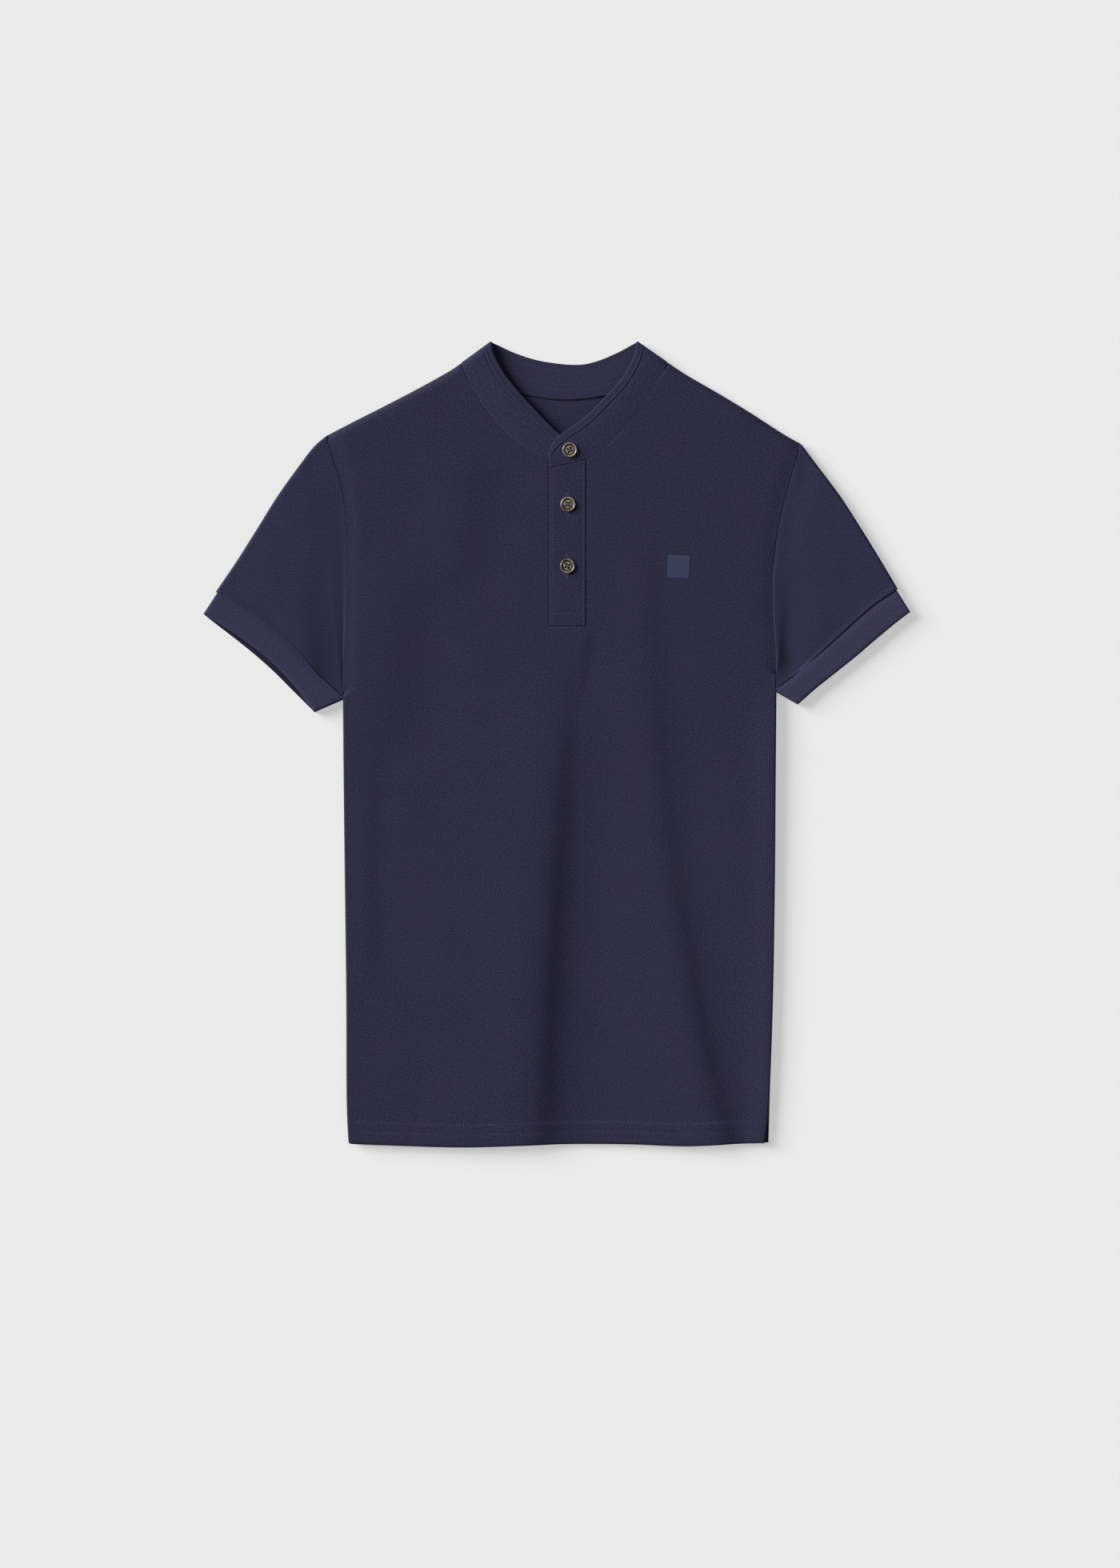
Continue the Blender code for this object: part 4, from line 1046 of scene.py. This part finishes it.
class Sewing:
    """Stitches gathered into one mesh: short rounded threads along a path."""

    def __init__(self):
        self.bm = bmesh.new()

    def stitch(self, start, end, width=THREAD_WIDTH, flat=0.8):
        along = end - start
        length = along.length
        turn = along.to_track_quat("X", "Z").to_matrix().to_4x4()
        size = Matrix.Diagonal((length / 2, width / 2, width / 2 * flat, 1.0))
        bmesh.ops.create_uvsphere(self.bm, u_segments=6, v_segments=4, radius=MM,
                                  matrix=Matrix.Translation((start + end) / 2 * MM) @ turn @ size)

    def row(self, path, length=STITCH_LENGTH, width=THREAD_WIDTH):
        run = run_of(path)
        count = max(1, int(run[-1] / STITCH_PITCH))
        step = run[-1] / count
        for number in range(count):
            reach = length * step / STITCH_PITCH
            start, end = (Vector([np.interp(where, run, path[:, axis]) for axis in range(3)])
                          for where in (number * step, number * step + reach))
            self.stitch(start, end, width)

    def done(self, name, material, slot):
        bmesh.ops.recalc_face_normals(self.bm, faces=self.bm.faces)
        return add_piece(name, self.bm, material, slot)


def on_front(x, y, lift):
    x, y = np.broadcast_arrays(np.asarray(x, dtype=float), np.asarray(y, dtype=float))
    return np.column_stack([x, y, front_height(x, y) + lift])


def sew_body(material):
    sewing = Sewing()
    x = np.arange(-166.0, 166.0, 2.0)
    proud = -0.14 + 0.40 * sum(share * ridge(x - middle, reach)
                               for middle, reach, share in HEM_PROUD)
    for row in HEM_ROWS:
        y = np.interp(x, HEM_CURVE[:, 0], HEM_CURVE[:, 1]) + row
        sewing.row(on_front(x, y, proud), length=1.7)
    x = np.linspace(PLACKET_LEFT + 0.5, PLACKET_RIGHT - 0.5, 20)
    sewing.row(on_front(x, PLACKET_BOTTOM - PLACKET_FOOT_ROW, 0.1))
    return sewing.done("body_stitching", material, "navy_pique")


def sew_placket(material):
    sewing = Sewing()
    y = np.linspace(PLACKET_BOTTOM + 1.0, PLACKET_TOP_LEFT - 3.5, 90)
    lift = PLACKET_LIFT - 0.12
    low, high = PLACKET_LEFT + PLACKET_ROWS[0], PLACKET_RIGHT - PLACKET_ROWS[1]
    sewing.row(on_front(low, y, lift), length=1.8)
    sewing.row(on_front(high, y + 4.0, lift), length=1.8)
    x = np.linspace(low, high, 20)
    sewing.row(on_front(x, PLACKET_BOTTOM + PLACKET_BOX_ROW, lift))
    return sewing.done("placket_stitching", material, "navy_pique")


def sew_band(parts, material):
    left, across, right = parts
    sewing = Sewing()
    for part, stop in ((left, 135), (right, 150)):
        sewing.row(part.points(WELT_GROOVE_INSET, -0.14)[6:stop], length=1.9)
        sewing.row(part.points(part.width - 1.2, -0.02)[6:stop + 20], length=2.2)
    for inset in BACK_BAND_ROWS:
        sewing.row(across.points(inset, BAND_WALL)[12:-12], length=1.8, width=0.34)
    return sewing.done("band_stitching", material, "navy_band")


# ---------------------------------------------------------------- buttons

def make_button(number, x, y, height, cover, thread_material):
    """A turned disc with four drilled holes, and the crossed threads between them."""
    radius = BUTTON_DIAMETER / 2
    bm = bmesh.new()
    verts = [bm.verts.new((share * radius, 0.0, level * BUTTON_THICKNESS))
             for share, level in BUTTON_SECTION]
    edges = [bm.edges.new(pair) for pair in zip(verts, verts[1:])]
    bmesh.ops.spin(bm, geom=verts + edges, cent=(0, 0, 0), axis=(0, 0, 1), steps=48,
                   angle=2 * math.pi, use_merge=True)
    bmesh.ops.remove_doubles(bm, verts=bm.verts, dist=0.001)
    bmesh.ops.recalc_face_normals(bm, faces=bm.faces)
    blank = object_of("button_blank", bm, bpy.context.scene.collection)
    bm = bmesh.new()
    holes = []
    for corner in range(4):
        angle = math.radians(BUTTON_TURNS[number - 1] + 45.0 + 90.0 * corner)
        holes.append(BUTTON_HOLE_REACH * Vector((math.cos(angle), math.sin(angle), 0.0)))
        bmesh.ops.create_cone(bm, cap_ends=True, segments=16, radius1=BUTTON_HOLE / 2,
                              radius2=BUTTON_HOLE / 2, depth=12.0,
                              matrix=Matrix.Translation(holes[-1]))
    drill = object_of("button_drill", bm, bpy.context.scene.collection)
    cut = blank.modifiers.new("Thread holes", "BOOLEAN")
    cut.operation, cut.solver, cut.object = "DIFFERENCE", "EXACT", drill
    shape = blank.evaluated_get(bpy.context.evaluated_depsgraph_get()).to_mesh()
    bm = bmesh.new()
    bm.from_mesh(shape)
    for spare in (blank, drill):
        bpy.data.objects.remove(spare, do_unlink=True)
    bmesh.ops.scale(bm, vec=(MM, MM, MM), verts=bm.verts)
    bmesh.ops.translate(bm, vec=(x * MM, y * MM, height * MM), verts=bm.verts)
    piece = add_piece(f"button_{number}_horn", bm, cover, "horn", f"button_{number}")
    piece.data.set_sharp_from_angle(angle=math.radians(40.0))
    sewing = Sewing()
    middle = Vector((x, y, height + BUTTON_DISH_LEVEL * BUTTON_THICKNESS + 0.08))
    for a, b in (holes[0::2], holes[1::2]):
        side = Vector((0.0, 0.0, 1.0)).cross(b - a).normalized()
        for shift in (-BUTTON_THREAD_OFFSET, BUTTON_THREAD_OFFSET):
            start, end = (middle + BUTTON_THREAD_REACH * hole + side * shift for hole in (a, b))
            sewing.stitch(start, end, BUTTON_THREAD_WIDTH, 0.9)
    sewing.done(f"button_{number}_thread", thread_material, "navy_pique")


def sew_buttonholes(height_at, material):
    """Rounded slits wrapped in close thread, one along the band and two up the placket."""
    sewing = Sewing()
    for (x, y), (turn, (right, up), half) in zip(BUTTON_PLACES, BUTTONHOLES):
        cosine, sine = math.cos(math.radians(turn)), math.sin(math.radians(turn))
        for side in (-1.0, 1.0):
            for along in np.arange(-half, half, BUTTONHOLE_STITCH_PITCH):
                ends = []
                for out in (0.35, 1.3):
                    end_x = x + right + cosine * along - sine * side * out
                    end_y = y + up + sine * along + cosine * side * out
                    height = height_at(turn == 0.0, end_x, end_y) + 0.03
                    ends.append(Vector((end_x, end_y, height)))
                sewing.stitch(*ends, 0.4)
    return sewing.done("buttonhole_stitching", material, "navy_pique")


# ---------------------------------------------------------------- studio

def studio():
    camera = bpy.data.cameras.new("overhead")
    camera.lens = CAMERA_LENS
    camera.sensor_width = CAMERA_SENSOR
    view = bpy.data.objects.new("overhead", camera)
    view.location = [part * MM for part in CAMERA_PLACE]
    bpy.context.scene.collection.objects.link(view)
    bpy.context.scene.camera = view
    bpy.context.scene.view_settings.view_transform = "Standard"


def lights_and_floor():
    sun = bpy.data.lights.new("window", "SUN")
    sun.energy = WINDOW_STRENGTH
    sun.angle = WINDOW_SPREAD
    lamp = bpy.data.objects.new("window", sun)
    towards = Vector(WINDOW_FROM)
    lamp.rotation_mode = "QUATERNION"
    lamp.rotation_quaternion = towards.to_track_quat("Z", "Y")
    lamp.location = towards
    bpy.context.scene.collection.objects.link(lamp)
    world = bpy.data.worlds.new("soft_room")
    world.use_nodes = True
    room = world.node_tree.nodes["Background"].inputs
    room["Color"].default_value = (1.0, 1.0, 1.0, 1.0)
    room["Strength"].default_value = ROOM_LIGHT
    bpy.context.scene.world = world
    bm = bmesh.new()
    bmesh.ops.create_grid(bm, x_segments=8, y_segments=8, size=FLOOR_HALF_WIDTH)
    bmesh.ops.translate(bm, vec=(0.0, 0.0, FLOOR_LEVEL), verts=bm.verts)
    floor = object_of("floor", bm, bpy.context.scene.collection)
    floor.data.materials.append(pale_floor())


# ---------------------------------------------------------------- the shirt

studio()
lights_and_floor()

body_pique = pique("navy_pique_body", patch=True)
side_pique = pique("navy_pique_plain")
# Sleeve pique in level rows, lighter and less purple than the body: the extra brightness is
# painted sheen of the rows, while the hue is the cloth's own.
sleeve_pique_painted_sheen = pique("navy_pique_sleeves_painted_sheen", rows=True, tint=(1.06, 1.10, 1.10))
band_knit = fine_knit("navy_band_knit", KNIT_PITCH, (1.08, 1.08, 1.10))
# The same rib knit for both cuffs: the right cuff's higher tint is painted light and the left
# cuff's lower tint is painted shade.
rib_left_painted_shade = fine_knit("navy_rib_left_painted_shade", RIB_PITCH, (1.42, 1.43, 1.37))
rib_right_painted_light = fine_knit("navy_rib_right_painted_light", RIB_PITCH, (1.58, 1.61, 1.55))
# Darker copy of the rib knit for the cuffs' inner faces: painted shade inside the cuffs.
cuff_inside_painted_shade = fine_knit("navy_rib_inside_painted_shade", RIB_PITCH, (0.62, 0.62, 0.66))
navy_thread = thread("navy_thread", NAVY_THREAD)
button_thread = thread("button_thread", BUTTON_THREAD)

front = make_front(body_pique)
back = make_back(side_pique)
left_sleeve = make_sleeve("sleeve_left_cloth", "sleeve_left", LEFT_ARMHOLE, LEFT_SLEEVE_TOP,
                          LEFT_CUFF_SEAM, -1, LEFT_SLEEVE_FLANKS, sleeve_pique_painted_sheen)
right_sleeve = make_sleeve("sleeve_right_cloth", "sleeve_right", RIGHT_ARMHOLE, RIGHT_SLEEVE_TOP,
                           RIGHT_CUFF_SEAM, 1, RIGHT_SLEEVE_FLANKS, sleeve_pique_painted_sheen)
left_cuff = make_cuff("cuff_left_rib", "cuff_left", LEFT_CUFF_START, LEFT_CUFF_EDGE,
                      LEFT_CUFF_UNDER_EDGE, -1, rib_left_painted_shade, cuff_inside_painted_shade)
right_cuff = make_cuff("cuff_right_rib", "cuff_right", RIGHT_CUFF_START, RIGHT_CUFF_EDGE,
                       RIGHT_CUFF_EDGE, 1, rib_right_painted_light, cuff_inside_painted_shade)
band, band_stretches = make_band(band_knit)
top_strip = make_strip("placket_top_cloth", "placket_top", PLACKET_LEFT, PLACKET_RIGHT,
                       PLACKET_BOTTOM, PLACKET_TOP_LEFT, PLACKET_TOP_RIGHT, PLACKET_LIFT,
                       STRIP_WALL, side_pique)
under_strip = make_strip("placket_under_cloth", "placket_under", PLACKET_LEFT, PLACKET_RIGHT,
                         PLACKET_BOTTOM, UNDER_STRIP_TOP, UNDER_STRIP_TOP, UNDER_STRIP_LIFT,
                         UNDER_STRIP_WALL, side_pique)

band_face = np.concatenate([band_stretches[2].points(inset)[60:]
                            for inset in np.arange(2.0, 25.0, 0.5)])


def height_at(on_band, x, y):
    if on_band:
        nearest = np.hypot(band_face[:, 0] - x, band_face[:, 1] - y).argmin()
        return float(band_face[nearest, 2])
    return float(front_height(x, y)) + PLACKET_LIFT


body_sewing = sew_body(navy_thread)
placket_sewing = sew_placket(navy_thread)
band_sewing = sew_band(band_stretches, navy_thread)
hole_sewing = sew_buttonholes(height_at, navy_thread)
for number, (x, y) in enumerate(BUTTON_PLACES, start=1):
    make_button(number, x, y, height_at(number == 1, x, y) - BUTTON_SINK,
                horn(f"horn_resin_{number}", (x, y)), button_thread)
